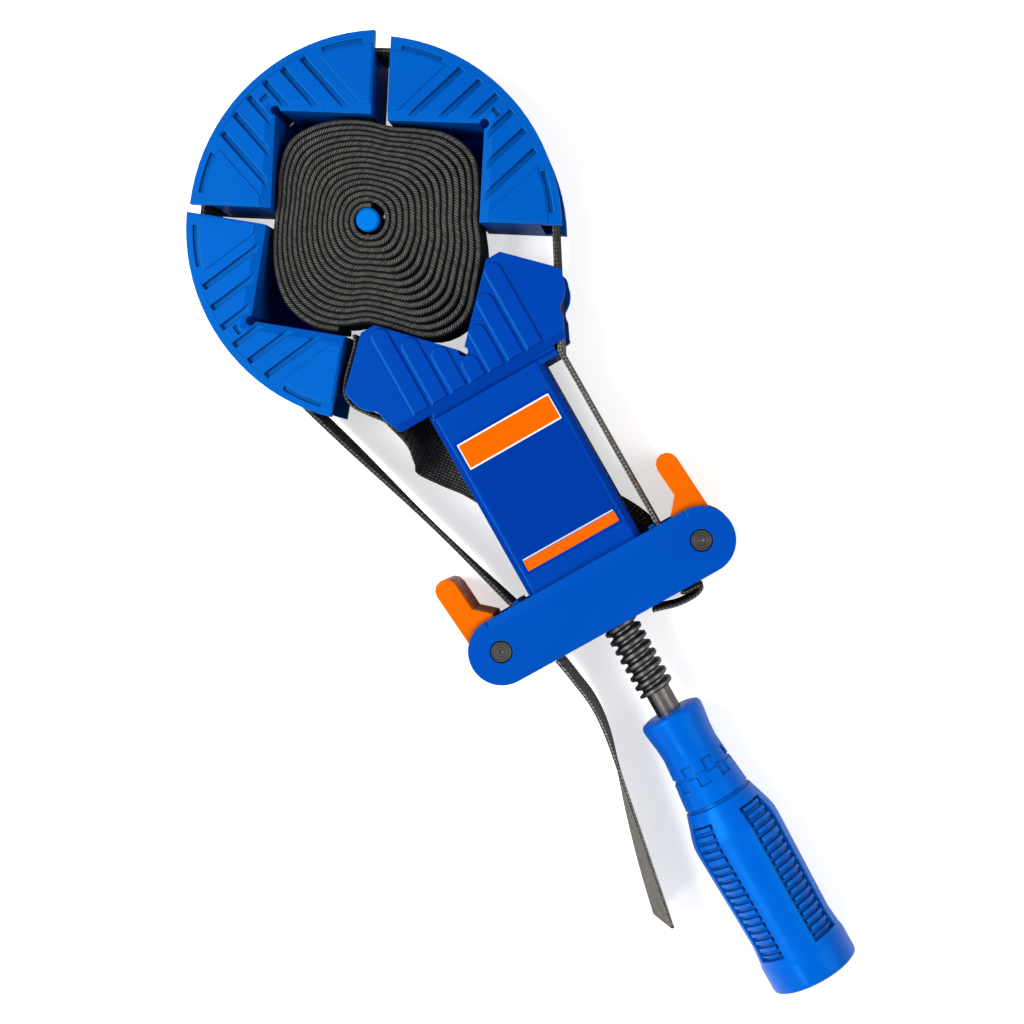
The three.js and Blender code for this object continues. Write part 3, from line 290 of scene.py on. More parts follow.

# %% [markdown]
# The pins and the screw are blackened steel, turned on a lathe, so fine rings
# run round their ends and the gloss breaks up along them. The pins take a
# darker copy of the steel, which is painted shade, as they stand in more
# light. Nuts and bolts are zinc plated.


# %% Steel
def turned_steel(name, colour, roughness, ring_mm):
    """Steel in a colour, with a fine break-up of a size in its gloss."""
    material, tree, shader = new_material(name)
    where = add(tree, "ShaderNodeTexCoord").outputs["Object"]
    scratch = add(tree, "ShaderNodeTexNoise", {"Scale": 1 / (ring_mm * MM), "Detail": 5, "Roughness": 0.7},
                  {"Vector": where})
    stain = add(tree, "ShaderNodeTexNoise", {"Scale": 1 / (4 * MM), "Detail": 4}, {"Vector": where})
    base = linear(colour)
    tint = add(tree, "ShaderNodeMix", {6: scaled(base, 0.6), 7: scaled(base, 1.5)},
               {0: stain.outputs["Fac"]}, data_type="RGBA")
    gloss = add(tree, "ShaderNodeMapRange", {"To Min": roughness - 0.12, "To Max": roughness + 0.15},
                {"Value": scratch.outputs["Fac"]})
    rounded = add(tree, "ShaderNodeBevel", {"Radius": 0.15 * MM}, samples=6)
    bump = add(tree, "ShaderNodeBump", {"Strength": 0.35, "Distance": 0.03 * MM},
               {"Height": scratch.outputs["Fac"], "Normal": rounded.outputs[0]})
    tree.links.new(tint.outputs[2], shader.inputs["Base Color"])
    tree.links.new(gloss.outputs[0], shader.inputs["Roughness"])
    tree.links.new(bump.outputs[0], shader.inputs["Normal"])
    shader.inputs["Metallic"].default_value = 1.0
    return material


DARK_STEEL = turned_steel("blackened steel, turned", "5c5a58", 0.32, 0.35)
# Painted shade: the pins take a darker copy of the blackened steel.
PIN_STEEL = turned_steel("blackened steel, faced on a lathe, with painted shade", "464442", 0.38, 0.35)
ZINC_STEEL = turned_steel("zinc plated steel", "b4b4b0", 0.3, 0.5)

# %% [markdown]
# The strap is polyester webbing, 25 mm wide. Its warp yarns show as rows of
# short slanting loops, each row half a loop out of step with the next, and
# its edge shows one row of them, like a cord. The strap's own UV map is in
# millimetres along and round the strap. A brick pattern lays the loops out,
# sheared so that they slant, and a little noise keeps them from looking
# printed. Where the strap's surface turns away from the sky, the colour falls
# off: that is painted shade. The wound strap takes a finer weave.
# The right run and the free end look lighter in the photograph, and take a
# lighter webbing here: a lit copy, which is painted light. That helps the
# picture: the real strap is one colour.


# %% Woven webbing
def woven_webbing(name, dark, light, loop_mm, row_mm, flank_shade):
    """Webbing with loops of a length in rows of a height; where it turns from the sky, painted shade keeps a
    share of the light colour.
    """
    material, tree, shader = new_material(name)
    along = add(tree, "ShaderNodeUVMap", uv_map="UVMap").outputs[0]
    wander = add(tree, "ShaderNodeTexNoise", {"Scale": 0.9, "Detail": 3}, {"Vector": along})
    centred = add(tree, "ShaderNodeVectorMath", {1: (0.5, 0.5, 0.5)}, {0: wander.outputs["Color"]},
                  operation="SUBTRACT")
    small = add(tree, "ShaderNodeVectorMath", {"Scale": 0.5}, {0: centred.outputs[0]}, operation="SCALE")
    moved = add(tree, "ShaderNodeVectorMath", links={0: along, 1: small.outputs[0]}, operation="ADD")
    parts = add(tree, "ShaderNodeSeparateXYZ", links={0: moved.outputs[0]})
    sheared = add(tree, "ShaderNodeMath", {1: 0.75}, {0: parts.outputs["Y"], 2: parts.outputs["X"]},
                  operation="MULTIPLY_ADD")
    place = add(tree, "ShaderNodeCombineXYZ", links={"X": sheared.outputs[0], "Y": parts.outputs["Y"]})
    loops = add(tree, "ShaderNodeTexBrick",
                {"Color1": (1, 1, 1, 1), "Color2": (0.5, 0.5, 0.5, 1), "Mortar": (0, 0, 0, 1), "Scale": 1.0,
                 "Mortar Size": 0.32, "Mortar Smooth": 0.8, "Brick Width": loop_mm, "Row Height": row_mm},
                {"Vector": place.outputs[0]}, offset=0.5, offset_frequency=2)
    fuzz = add(tree, "ShaderNodeTexNoise", {"Scale": 3.0, "Detail": 4, "Roughness": 0.7}, {"Vector": along})
    fuzz_and_edge_tilt = add(tree, "ShaderNodeMapRange", {"From Min": 0.3, "From Max": 0.7, "To Min": 0.3, "To Max": 1.0},
               {"Value": fuzz.outputs["Fac"]})
    height = add(tree, "ShaderNodeMath", links={0: loops.outputs["Color"], 1: fuzz_and_edge_tilt.outputs[0]},
                 operation="MULTIPLY")
    # Painted shade: where the surface turns from up, only a share of the light colour is kept.
    normal = add(tree, "ShaderNodeNewGeometry").outputs["Normal"]
    facing = add(tree, "ShaderNodeSeparateXYZ", links={0: normal})
    upward = add(tree, "ShaderNodeMapRange",
                 {"From Min": 0.6, "From Max": 0.95, "To Min": flank_shade, "To Max": 1.0},
                 {"Value": facing.outputs["Z"]})
    light_share = add(tree, "ShaderNodeMath", links={0: height.outputs[0], 1: upward.outputs[0]},
                      operation="MULTIPLY")
    colour = add(tree, "ShaderNodeMix", {6: linear(dark), 7: linear(light)}, {0: light_share.outputs[0]},
                 data_type="RGBA")
    bump = add(tree, "ShaderNodeBump", {"Strength": 0.8, "Distance": 0.35 * MM},
               {"Height": loops.outputs["Color"]})
    tree.links.new(colour.outputs[2], shader.inputs["Base Color"])
    tree.links.new(bump.outputs[0], shader.inputs["Normal"])
    shader.inputs["Roughness"].default_value = 0.85
    shader.inputs["Specular IOR Level"].default_value = 0.2
    return material


WEBBING = woven_webbing("woven polyester webbing, charcoal", "0b0b0a", "948f88", 1.5, 1.12, 0.35)
WEBBING_EDGE = woven_webbing("woven polyester webbing, wound on edge", "060606", "7e7d78", 1.05, 2.3, 0.1)
# Painted light: a lighter copy of the webbing for the right run and the free end.
WEBBING_LIT = woven_webbing("woven polyester webbing, facing the lamp", "22211f", "c0bbb2", 1.5, 1.12, 1.0)

# %% [markdown]
# Printed film: the stem carries a blue label with two bare orange bands, the
# upper one with a white border. It is a smooth ink without the plastic's
# grain.


# %% Printed film
def printed_film(name, colour, sheen):
    """Smooth ink in a colour, whose reflections are tinted."""
    material, tree, shader = new_material(name)
    where = add(tree, "ShaderNodeTexCoord").outputs["Object"]
    dots = add(tree, "ShaderNodeTexNoise", {"Scale": 1 / (0.8 * MM), "Detail": 2}, {"Vector": where})
    base = linear(colour)
    tint = add(tree, "ShaderNodeMix", {6: scaled(base, 0.94), 7: base},
               {0: dots.outputs["Fac"]}, data_type="RGBA")
    gloss = add(tree, "ShaderNodeMapRange", {"To Min": 0.28, "To Max": 0.4}, {"Value": dots.outputs["Fac"]})
    tree.links.new(tint.outputs[2], shader.inputs["Base Color"])
    tree.links.new(gloss.outputs[0], shader.inputs["Roughness"])
    shader.inputs["Specular IOR Level"].default_value = 0.3
    shader.inputs["Specular Tint"].default_value = sheen
    return material


FILM_ORANGE = printed_film("printed film, orange", "f66200", ORANGE_SHEEN)
FILM_WHITE = printed_film("printed film, white", "f4f4f2", (1, 1, 1, 1))
FILM_BLUE = printed_film("printed film, blue", "003096", BLUE_SHEEN)

# %% [markdown]
# A moulded piece keeps the frame's exact shape. Each one is a copy of its
# node, with the triangles of every flat face merged into one. The shading is
# smooth round upright curved walls, and sharp at every other edge, so a flat
# face stays flat. The material's Bevel node then rounds the sharp edges.


# %% Moulded pieces from their nodes
SMOOTH_BELOW = math.radians(35)
FLAT_BELOW = math.radians(0.4)


def finish_piece(bm, name, body, material, nodes=(), edges_set=False, smooth_below=SMOOTH_BELOW):
    """Turns a bmesh into a piece that rides on a body and stands for CAD nodes."""
    mesh = bpy.data.meshes.new(name)
    bm.to_mesh(mesh)
    bm.free()
    mesh.materials.append(material)
    made = bpy.data.objects.new(name, mesh)
    bpy.context.scene.collection.objects.link(made)
    if not edges_set:
        mesh.shade_smooth()
        mesh.set_sharp_from_angle(angle=smooth_below)
    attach(made, body)
    if nodes:
        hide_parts(*nodes)
    return made


def on_one_wall(edge):
    """Whether an edge lies between two facets of one upright curved wall."""
    if len(edge.link_faces) != 2:
        return False
    upright = all(abs(face.normal.z) < 0.1 for face in edge.link_faces)
    return upright and edge.calc_face_angle() < SMOOTH_BELOW


def moulded_copy(node, body, material):
    """A merged copy of a node, flat on its flat faces and smooth round its curved walls."""
    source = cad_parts[node]
    bm = bmesh.new()
    bm.from_mesh(source.data)
    bmesh.ops.remove_doubles(bm, verts=bm.verts, dist=0.002 * MM)
    bmesh.ops.dissolve_limit(bm, angle_limit=FLAT_BELOW, verts=bm.verts, edges=bm.edges)
    for face in bm.faces:
        face.smooth = True
    for edge in bm.edges:
        edge.smooth = on_one_wall(edge)
    return finish_piece(bm, f"{node}_moulding", body, material, [node], True)


MOULDINGS = [
    ("jaw_top_left", "corner_top_left", JAW_BLUE, "jaw_blue"),
    ("jaw_top_right", "corner_top_right", JAW_BLUE, "jaw_blue"),
    ("jaw_bottom_left", "corner_bottom_left", JAW_BLUE, "jaw_blue"),
    ("fixed_jaw", "root", FRAME_BLUE, "frame_blue"),
    ("stem_back_cover", "root", COVER_BLUE, "cover_blue"),
    ("crossbar_front", "crossbar", BAR_BLUE, "frame_blue"),
    ("crossbar_back", "crossbar", COVER_BLUE, "cover_blue"),
    ("cam_lever_left", "left_lever", LEVER_ORANGE, "lever_orange"),
    ("cam_lever_right", "right_lever", LEVER_ORANGE, "lever_orange"),
    ("strap_spindle", "root", SPINDLE_BLUE, "jaw_blue"),
]
for node_name, body_name, look, slot_name in MOULDINGS:
    moulded_copy(node_name, body_name, look)

# %% [markdown]
# Each movable jaw has a fine raised panel at both ends and a hairline round
# its rim. They are too fine for the frame, so they are laid on the jaws here,
# from the jaws' own places: a centre and the way that the vee points.

# %% Raised lines of the movable jaws
JAW_PLACES = {
    "top_left": (-4.4, 62.9, 102.3),
    "top_right": (-9.1, 63.3, 12.4),
    "bottom_left": (-5.5, 62.9, 185.8),
}
JAW_TOP = 31.98
PANEL_RISE = 0.28
HAIR_RISE = 0.12
PANEL_RIM, HAIR_RIM, HAIR_WIDTH = 66.9, 69.6, 0.35
ARM_FROM, ARM_END = 45.2, 5.8
PANEL_END_WIDTH = 3.6
HAIR_START, HAIR_END = 26, 64


def arc_points(radius, start, end, steps):
    """Points on an arc about the origin, between two angles in degrees."""
    turns = [math.radians(start + (end - start) * i / steps) for i in range(steps + 1)]
    return [(math.cos(t) * radius, math.sin(t) * radius) for t in turns]


def raise_outline(bm, outline, place, rise):
    """A thin raised shape on a jaw's top, from an outline in the jaw's own axes."""
    x0, y0, turn = place
    cos, sin = math.cos(math.radians(turn - 45)), math.sin(math.radians(turn - 45))
    corners = [(x0 + cos * x - sin * y, y0 + sin * x + cos * y, JAW_TOP) for x, y in outline]
    verts = [bm.verts.new(Vector(corner) * MM) for corner in corners]
    base = bm.faces.new(verts)
    lid = bmesh.ops.extrude_face_region(bm, geom=[base])
    moved = [g for g in lid["geom"] if isinstance(g, bmesh.types.BMVert)]
    bmesh.ops.translate(bm, vec=(0, 0, rise * MM), verts=moved)


for word, place in JAW_PLACES.items():
    bm = bmesh.new()
    near_turn = math.degrees(math.asin(ARM_END / PANEL_RIM))
    across = ARM_FROM - ARM_END - PANEL_END_WIDTH
    far_turn = 45 - math.degrees(math.asin(across / math.sqrt(2) / PANEL_RIM))
    rim = arc_points(PANEL_RIM, near_turn, far_turn, 8)
    panel = [(ARM_FROM, ARM_END), *rim, (ARM_FROM, ARM_END + PANEL_END_WIDTH)]
    hair = (arc_points(HAIR_RIM, HAIR_START, HAIR_END, 24)
            + arc_points(HAIR_RIM - HAIR_WIDTH, HAIR_END, HAIR_START, 24))
    raise_outline(bm, panel, place, PANEL_RISE)
    raise_outline(bm, [(y, x) for x, y in panel], place, PANEL_RISE)
    raise_outline(bm, hair, place, HAIR_RISE)
    bmesh.ops.recalc_face_normals(bm, faces=bm.faces)
    finish_piece(bm, f"jaw_{word}_raised_lines", f"corner_{word}", JAW_BLUE)

# %% [markdown]
# Small steel pieces keep their nodes and only take a finish.

# %% Finish of the steel nodes
DARK_NODES = ["screw_retaining_ring", "pin_clip_left", "pin_clip_right"]
ZINC_NODES = ["thrust_pad", "screw_nut", "handle_cross_pin", "crossbar_screw_1", "crossbar_screw_2",
              "lever_spring_left", "lever_spring_right", *[f"stem_screw_{i}" for i in range(1, 5)]]


def dress(node, material):
    """Puts a material in every slot of a node that stays."""
    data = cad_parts[node].data
    data.materials.clear()
    data.materials.append(material)


for node_name in DARK_NODES:
    dress(node_name, DARK_STEEL)
for node_name in ZINC_NODES:
    dress(node_name, ZINC_STEEL)

# %% [markdown]
# The strap is one length of webbing. A piece of it is a flat band swept
# through stations, each with a centre and the way its width lies. The band's
# edges are rounded like a selvedge. Its UV map counts millimetres along and
# round the band, for the weave.

# %% Straps
STRAP_WIDTH = 25 * MM
TIGHT_THICK, LOOSE_THICK = 1.6 * MM, 1.3 * MM
SELVEDGE_POINTS = 5
SELVEDGE_SHARE = 0.32
UP = Vector((0, 0, 1))


def band_section(width, thick):
    """Points round the strap's section: flat faces and a rounded selvedge at each edge."""
    half, round_x = width / 2, thick * SELVEDGE_SHARE
    points = []
    for turn, side in ((0, 1), (1, -1)):
        for k in range(SELVEDGE_POINTS):
            angle = math.pi * (k / (SELVEDGE_POINTS - 1) - 0.5) + math.pi * turn
            x = side * (half - round_x) + math.cos(angle) * round_x
            points.append((x, math.sin(angle) * thick / 2))
    return points


def webbing(name, stations, body, nodes, thick=TIGHT_THICK, cut_slant=0.0, look=WEBBING):
    """A closed band of webbing through (centre, across) stations, with one thickness or one for each."""
    bm = bmesh.new()
    uv_layer = bm.loops.layers.uv.new("UVMap")
    thicks = thick if isinstance(thick, list) else [thick] * len(stations)
    sections = [band_section(STRAP_WIDTH, t) for t in thicks]
    section = sections[-1]
    count = len(section)
    around = [0.0]
    for k in range(count):
        a, b = section[k], section[(k + 1) % count]
        around.append(around[-1] + math.dist(a, b) / MM)
    rings, along, travelled = [], [], 0.0
    for i, (centre, across) in enumerate(stations):
        before, after = stations[max(i - 1, 0)][0], stations[min(i + 1, len(stations) - 1)][0]
        tangent = (after - before).normalized()
        side = (across - tangent * across.dot(tangent)).normalized()
        face = tangent.cross(side)
        if i:
            travelled += (centre - stations[i - 1][0]).length / MM
        slant = cut_slant if i == len(stations) - 1 else 0.0
        rings.append([bm.verts.new(centre + side * x + face * y + tangent * slant * x)
                      for x, y in sections[i]])
        along.append(travelled)
    for i in range(len(rings) - 1):
        for k in range(count):
            j = (k + 1) % count
            quad = bm.faces.new((rings[i][k], rings[i][j], rings[i + 1][j], rings[i + 1][k]))
            marks = ((along[i], around[k]), (along[i], around[k + 1]),
                     (along[i + 1], around[k + 1]), (along[i + 1], around[k]))
            for loop, mark in zip(quad.loops, marks):
                loop[uv_layer].uv = mark
    for ring, mark in ((rings[0], along[0]), (rings[-1], along[-1])):
        cap = bm.faces.new(ring)
        for loop, (x, y) in zip(cap.loops, section):
            loop[uv_layer].uv = (mark + y / MM, x / MM)
    bmesh.ops.recalc_face_normals(bm, faces=bm.faces)
    made = finish_piece(bm, name, body, look, nodes, smooth_below=math.radians(60))
    return made, travelled * MM


def between(a, b, c, d, t):
    """The value a share t of the way from b to c, smooth through all four, by Catmull and Rom's rule."""
    return 0.5 * (2 * b + (c - a) * t + (2 * a - 5 * b + 4 * c - d) * t ** 2
                  + (3 * b - a - 3 * c + d) * t ** 3)


def curve_points(points, per_span):
    """Smooth values through listed points."""
    values = [Vector(p) for p in points]
    values = [values[0] * 2 - values[1], *values, values[-1] * 2 - values[-2]]
    smooth = []
    for i in range(1, len(values) - 2):
        for step in range(per_span):
            smooth.append(between(*values[i - 1 : i + 3], step / per_span))
    smooth.append(values[-2])
    return smooth


def rolled_stations(route, per_span=6):
    """Stations along X, Y, Z and roll, where a roll of 90 degrees stands the strap on edge."""
    rows = curve_points(route, per_span)
    stations = []
    for i, row in enumerate(rows):
        centre = Vector(row[:3]) * MM
        before, after = rows[max(i - 1, 0)], rows[min(i + 1, len(rows) - 1)]
        flat = Vector((after[0] - before[0], after[1] - before[1], after[2] - before[2])).normalized()
        left = UP.cross(flat).normalized()
        roll = math.radians(row[3])
        stations.append((centre, left * math.cos(roll) + UP * math.sin(roll)))
    return stations


# %% [markdown]
# The spare strap is wound on the spindle, round at first, and takes up the
# square room between the jaws as it grows. It has the frame's outline with
# finer steps. Each turn presses on the last one, so the webbing is drawn as
# thick as the room between two turns, and each quarter turn stands a little
# higher or lower than the next, as a hand winding does.

# %% The coil
COIL_CENTRE = Vector((-7.3, 68.4, 0)) * MM
COIL_REACH = 40 * MM
COIL_THICK = 1.8 * MM
COIL_THINNEST, COIL_THICKEST = 1.5 * MM, 2.4 * MM
COIL_GAP = 0.1 * MM
COIL_LIFT = (-0.45, 0.35)
COIL_LOW = 0.6 * MM
COIL_TURN_STEPS = 372
COIL_STEPS = 24
QUARTER_STEPS = COIL_STEPS // 4
COIL_START = 3
COIL_FINE = 4
COIL_GROW_SHARE = 0.35
SPINDLE_RADIUS = 4.45 * MM
COIL_OUTLINE_SHARES = [
    1.19, 1.13, 1.0, 0.915, 0.94, 0.985, 1.04, 1.07,
    0.99, 0.905, 0.9, 0.945, 1.02, 1.1, 1.12, 1.075,
    1.005, 1.11, 1.33, 1.38, 1.24, 1.15, 1.075, 1.12,
]
COIL_MEAN_SHARE = sum(COIL_OUTLINE_SHARES) / COIL_STEPS


def outline_share(place):
    """The outline's share at any place round the turn, smoothed between its points."""
    i = math.floor(place)
    return between(*[COIL_OUTLINE_SHARES[(i + k) % COIL_STEPS] for k in (-1, 0, 1, 2)], place - i)


def coil_radius(step):
    """The distance of the strap's middle from the spindle's axis after some steps."""
    wound = max(step, 0) / COIL_TURN_STEPS
    start = SPINDLE_RADIUS + COIL_THICK / 2 + COIL_GAP
    outline = outline_share(COIL_START + step) - COIL_MEAN_SHARE
    shape = COIL_MEAN_SHARE + outline * wound ** COIL_GROW_SHARE
    return start + (shape * COIL_REACH - COIL_THICK / 2 - start) * wound


def coil_thick(step):
    """The room between this turn and the one before it, square to the strap."""
    step = max(step, COIL_STEPS)
    radius = coil_radius(step)
    slope = (coil_radius(step + 0.5) - coil_radius(step - 0.5)) / (radius * 2 * math.pi / COIL_STEPS)
    room = (radius - coil_radius(step - COIL_STEPS)) * math.cos(math.atan(slope))
    return min(max(room - COIL_GAP, COIL_THINNEST), COIL_THICKEST)


def coil_stations():
    """Stations from the spindle outward, and the strap's thickness at each."""
    lift = [random.uniform(*COIL_LIFT) * MM for _ in range(COIL_TURN_STEPS // QUARTER_STEPS + 2)]
    stations, thicks = [], []
    for fine in range(COIL_TURN_STEPS * COIL_FINE + 1):
        step = fine / COIL_FINE
        angle = 2 * math.pi * (COIL_START + step) / COIL_STEPS
        quarter = int(step // QUARTER_STEPS)
        blend = step / QUARTER_STEPS - quarter
        height = COIL_LOW + STRAP_WIDTH / 2 + lift[quarter] * (1 - blend) + lift[quarter + 1] * blend
        radius = coil_radius(step)
        centre = COIL_CENTRE + Vector((math.cos(angle) * radius, math.sin(angle) * radius, height))
        stations.append((centre, UP))
        thicks.append(coil_thick(step))
    return stations, thicks


coil_line, coil_thicks = coil_stations()
coil, coil_length = webbing("wound_strap", coil_line, "root", ["strap_coil"], coil_thicks, look=WEBBING_EDGE)
print("coil length in m:", round(coil_length, 3))

# %% [markdown]
# From the coil's last turn the strap runs under the stem, round the right
# cam, about the jaws in one loop, and through the left cam to its free end.

# %% The loop and its runs
LOOP_CENTRE = Vector((sum(x for x, _, _ in JAW_PLACES.values()) / 3,
                      sum(y for _, y, _ in JAW_PLACES.values()) / 3, 0))
LOOP_RADIUS = 66.3
STRAP_Z = 16.0
CROSSBAR_Z = 17.4
CROSSBAR_TOP_Y = -83.6
CROSSBAR_END_Y = -108.6
SLOT_TOP_X = 30.9
SLOT_END_X = 26.3
RIGHT_BEND = Vector((30.9, -10.2, STRAP_Z))
LEFT_JOIN_Y = 10.3
RIGHT_JOIN_SHARE = 0.85
ARC_STEPS = 180
LEFT_LEAN = -6


def leaving_turn(point, side):
    """Where a straight run to a point leaves the loop's circle."""
    offset = Vector(point[:2]) - LOOP_CENTRE.xy
    return math.atan2(offset.y, offset.x) + side * math.acos(LOOP_RADIUS / offset.length)


def on_edge(points):
    """Stations through points in mm, with the strap on edge."""
    return [(Vector(p) * MM, UP) for p in points]


def leaning(stations, most):
    """Leans the strap over between its ends, by an angle in degrees at the most."""
    leant = []
    ahead = (stations[-1][0] - stations[0][0]).normalized()
    for i, (centre, across) in enumerate(stations):
        lean = math.radians(most) * math.sin(math.pi * i / (len(stations) - 1)) ** 2
        leant.append((centre, across * math.cos(lean) + ahead.cross(UP) * math.sin(lean)))
    return leant


def straight(a, b, steps):
    """Evenly spaced points from a to b."""
    return [Vector(a).lerp(Vector(b), i / steps) for i in range(steps + 1)]


loop_from = leaving_turn(RIGHT_BEND, 1)
loop_to = leaving_turn((-SLOT_TOP_X, CROSSBAR_TOP_Y), -1) + 2 * math.pi
arc = []
for i in range(ARC_STEPS + 1):
    angle = loop_from + (loop_to - loop_from) * i / ARC_STEPS
    offset = Vector((math.cos(angle) * LOOP_RADIUS, math.sin(angle) * LOOP_RADIUS, STRAP_Z))
    arc.append(LOOP_CENTRE + offset)
left_top = Vector((-SLOT_TOP_X, CROSSBAR_TOP_Y, CROSSBAR_Z))
left_share = (arc[-1].y - LEFT_JOIN_Y) / (arc[-1].y - left_top.y)
left_join = arc[-1].lerp(Vector((left_top.x, left_top.y, STRAP_Z)), left_share)
right_join = arc[0].lerp(RIGHT_BEND, RIGHT_JOIN_SHARE)
loop_line = straight(right_join, arc[0], 8)[:-1] + arc + straight(arc[-1], left_join, 8)[1:]
loop, loop_length = webbing("strap_round_jaws", on_edge(loop_line), "root", ["strap_loop"])

left_line = (straight(left_join, left_top, 40)
             + straight(left_top, (-SLOT_END_X, CROSSBAR_END_Y, CROSSBAR_Z), 8)[1:])
left_run, left_length = webbing("strap_run_left", leaning(on_edge(left_line), LEFT_LEAN), "root",
                                ["strap_left_run"])
right_top = Vector((SLOT_TOP_X, CROSSBAR_TOP_Y, CROSSBAR_Z))
right_line = (straight(right_join, RIGHT_BEND, 4) + straight(RIGHT_BEND, right_top, 32)[1:]
              + straight(right_top, (SLOT_END_X, CROSSBAR_END_Y, CROSSBAR_Z), 8)[1:])
right_run, right_length = webbing("strap_run_right", on_edge(right_line), "root", ["strap_right_run"],
                                  look=WEBBING_LIT)

# %% [markdown]
# The rest of the strap follows listed points: X, Y and Z in mm, and the
# roll in degrees. It folds at the right cam, comes back flat under the stem,
# and rises on edge to the coil. The free end leaves the left cam and sags to
# one side.

# %% The strap's turn at the right cam, its way back, and its free end
RETURN_ROUTE = [
    (22, -104, 0.95, 0), (20, -93, 0.95, 0), (17, -82, 0.95, 0), (11.5, -72, 0.95, 0),
    (3.5, -61, 0.95, 0), (-5.5, -50.5, 0.95, 0), (-13.5, -40, 0.95, 0), (-19.5, -30, 1.7, 4),
    (-25, -23, 3.2, 11), (-29.5, -17, 6.6, 27), (-31.5, -11.5, 12.2, 54), (-33.5, -6, 15.8, 72),
    (-37, 0, 16, 83), (-42.5, 5, 16, 90), (-46.3, 11, 16, 90), (-46.6, 16, 16, 90),
    (-43.6, 20.6, 16, 90), (-38.6, 25.6, 16, 90), (-33.9, 30.4, 16, 90), (-32.8, 33.5, 16, 90),
]
FOLD_ROUTE = [
    (26.1, -109.3, 14.5, 90), (26.8, -110, 14.5, 90), (29, -110.4, 14.5, 90), (32, -110.4, 14.5, 90),
    (33.6, -111.4, 14.5, 90), (31, -112.8, 14.5, 90), (26.7, -113.1, 14.5, 90), (22, -112.6, 14.5, 90),
    (17.5, -111.3, 14.5, 90), (13.5, -110.2, 14.5, 90),
]
TAIL_ROUTE = [
    (-26.2, -109.1, 17.4, 90), (-25.6, -112, 17.3, 90), (-24.6, -119, 16, 90), (-23.4, -130, 14.3, 90),
    (-24.4, -142, 13.2, 89),
    (-28, -158, 12.9, 85), (-33, -178, 12.9, 79), (-37.6, -198, 12.8, 75), (-41.2, -215.5, 12.7, 73),
]
back, back_length = webbing("strap_way_back", rolled_stations(RETURN_ROUTE), "root",
                            ["strap_return"], LOOSE_THICK)
fold, fold_length = webbing("strap_fold_at_cam", rolled_stations(FOLD_ROUTE), "crossbar",
                            ["strap_fold"], LOOSE_THICK)
tail, tail_length = webbing("strap_free_end", rolled_stations(TAIL_ROUTE), "crossbar",
                            ["strap_tail"], LOOSE_THICK, cut_slant=0.05, look=WEBBING_LIT)
whole = (coil_length + loop_length + left_length + right_length
         + back_length + fold_length + tail_length)
print("strap shown in all, in m:", round(whole, 3))

# %% [markdown]
# The lead screw has a coarse rounded thread, about 14 mm across with a pitch
# of 3.8 mm. One tooth's outline is spun round the axis while it moves along,
# which makes the whole helix. Two planes then cut it to length, and the cuts
# are filled. The pitch follows the photograph, while the joints use a lead of
# 4 mm, so the thread shown and the travel differ by a twentieth.

# %% Lead screw
SCREW_AXIS = Vector((0, 0, 17.4)) * MM
THREAD_RADIUS = 7 * MM
ROOT_RADIUS = 5.1 * MM
SHANK_RADIUS = 4.75 * MM
THREAD_PITCH = 3.8 * MM
THREAD_TOP = -97.5 * MM
THREAD_END = -137.4 * MM
THREAD_STEPS = 48
TIP_RADIUS = 3.9 * MM
ALONG = Vector((0, 1, 0))


def spun(profile, steps, centre, axis=ALONG):
    """A closed solid from (radius, height) points spun about a line, which is along Y or upright."""
    bm = bmesh.new()
    chain = [bm.verts.new(centre + Vector((r, 0, 0)) + axis * height) for r, height in profile]
    edges = [bm.edges.new(pair) for pair in zip(chain, chain[1:])]
    bmesh.ops.spin(bm, geom=chain + edges, cent=centre, axis=axis, angle=2 * math.pi,
                   steps=steps, use_merge=True, use_normal_flip=False, use_duplicate=False)
    bmesh.ops.remove_doubles(bm, verts=bm.verts, dist=0.001 * MM)
    bmesh.ops.recalc_face_normals(bm, faces=bm.faces)
    return bm


def threaded_rod():
    """The thread as one helix, cut to length and filled."""
    bm = bmesh.new()
    flank = THREAD_RADIUS - 0.3 * MM
    tooth = [(ROOT_RADIUS, 0), (ROOT_RADIUS, 0.1), (flank, 0.27), (THREAD_RADIUS, 0.37),
             (THREAD_RADIUS, 0.63), (flank, 0.73), (ROOT_RADIUS, 0.9), (ROOT_RADIUS, 1)]
    low = THREAD_END - 2 * THREAD_PITCH
    chain = [bm.verts.new(SCREW_AXIS + Vector((r, low + share * THREAD_PITCH, 0)))
             for r, share in tooth]
    edges = [bm.edges.new(pair) for pair in zip(chain, chain[1:])]
    turns = math.ceil((THREAD_TOP - THREAD_END) / THREAD_PITCH) + 3
    bmesh.ops.spin(bm, geom=chain + edges, cent=SCREW_AXIS, axis=(0, 1, 0), angle=2 * math.pi * turns,
                   dvec=Vector((0, THREAD_PITCH / THREAD_STEPS, 0)), steps=THREAD_STEPS * turns,
                   use_merge=False, use_normal_flip=False, use_duplicate=False)
    bmesh.ops.remove_doubles(bm, verts=bm.verts, dist=0.01 * MM)
    for y, outer in ((THREAD_END, False), (THREAD_TOP, True)):
        cut = bmesh.ops.bisect_plane(bm, geom=bm.verts[:] + bm.edges[:] + bm.faces[:], dist=0.001 * MM,
                                     plane_co=(0, y, 0), plane_no=(0, 1, 0), clear_outer=outer,
                                     clear_inner=not outer)
        rim = [g for g in cut["geom_cut"] if isinstance(g, bmesh.types.BMEdge)]
        bmesh.ops.edgeloop_fill(bm, edges=rim)
    bmesh.ops.recalc_face_normals(bm, faces=bm.faces)
    return bm


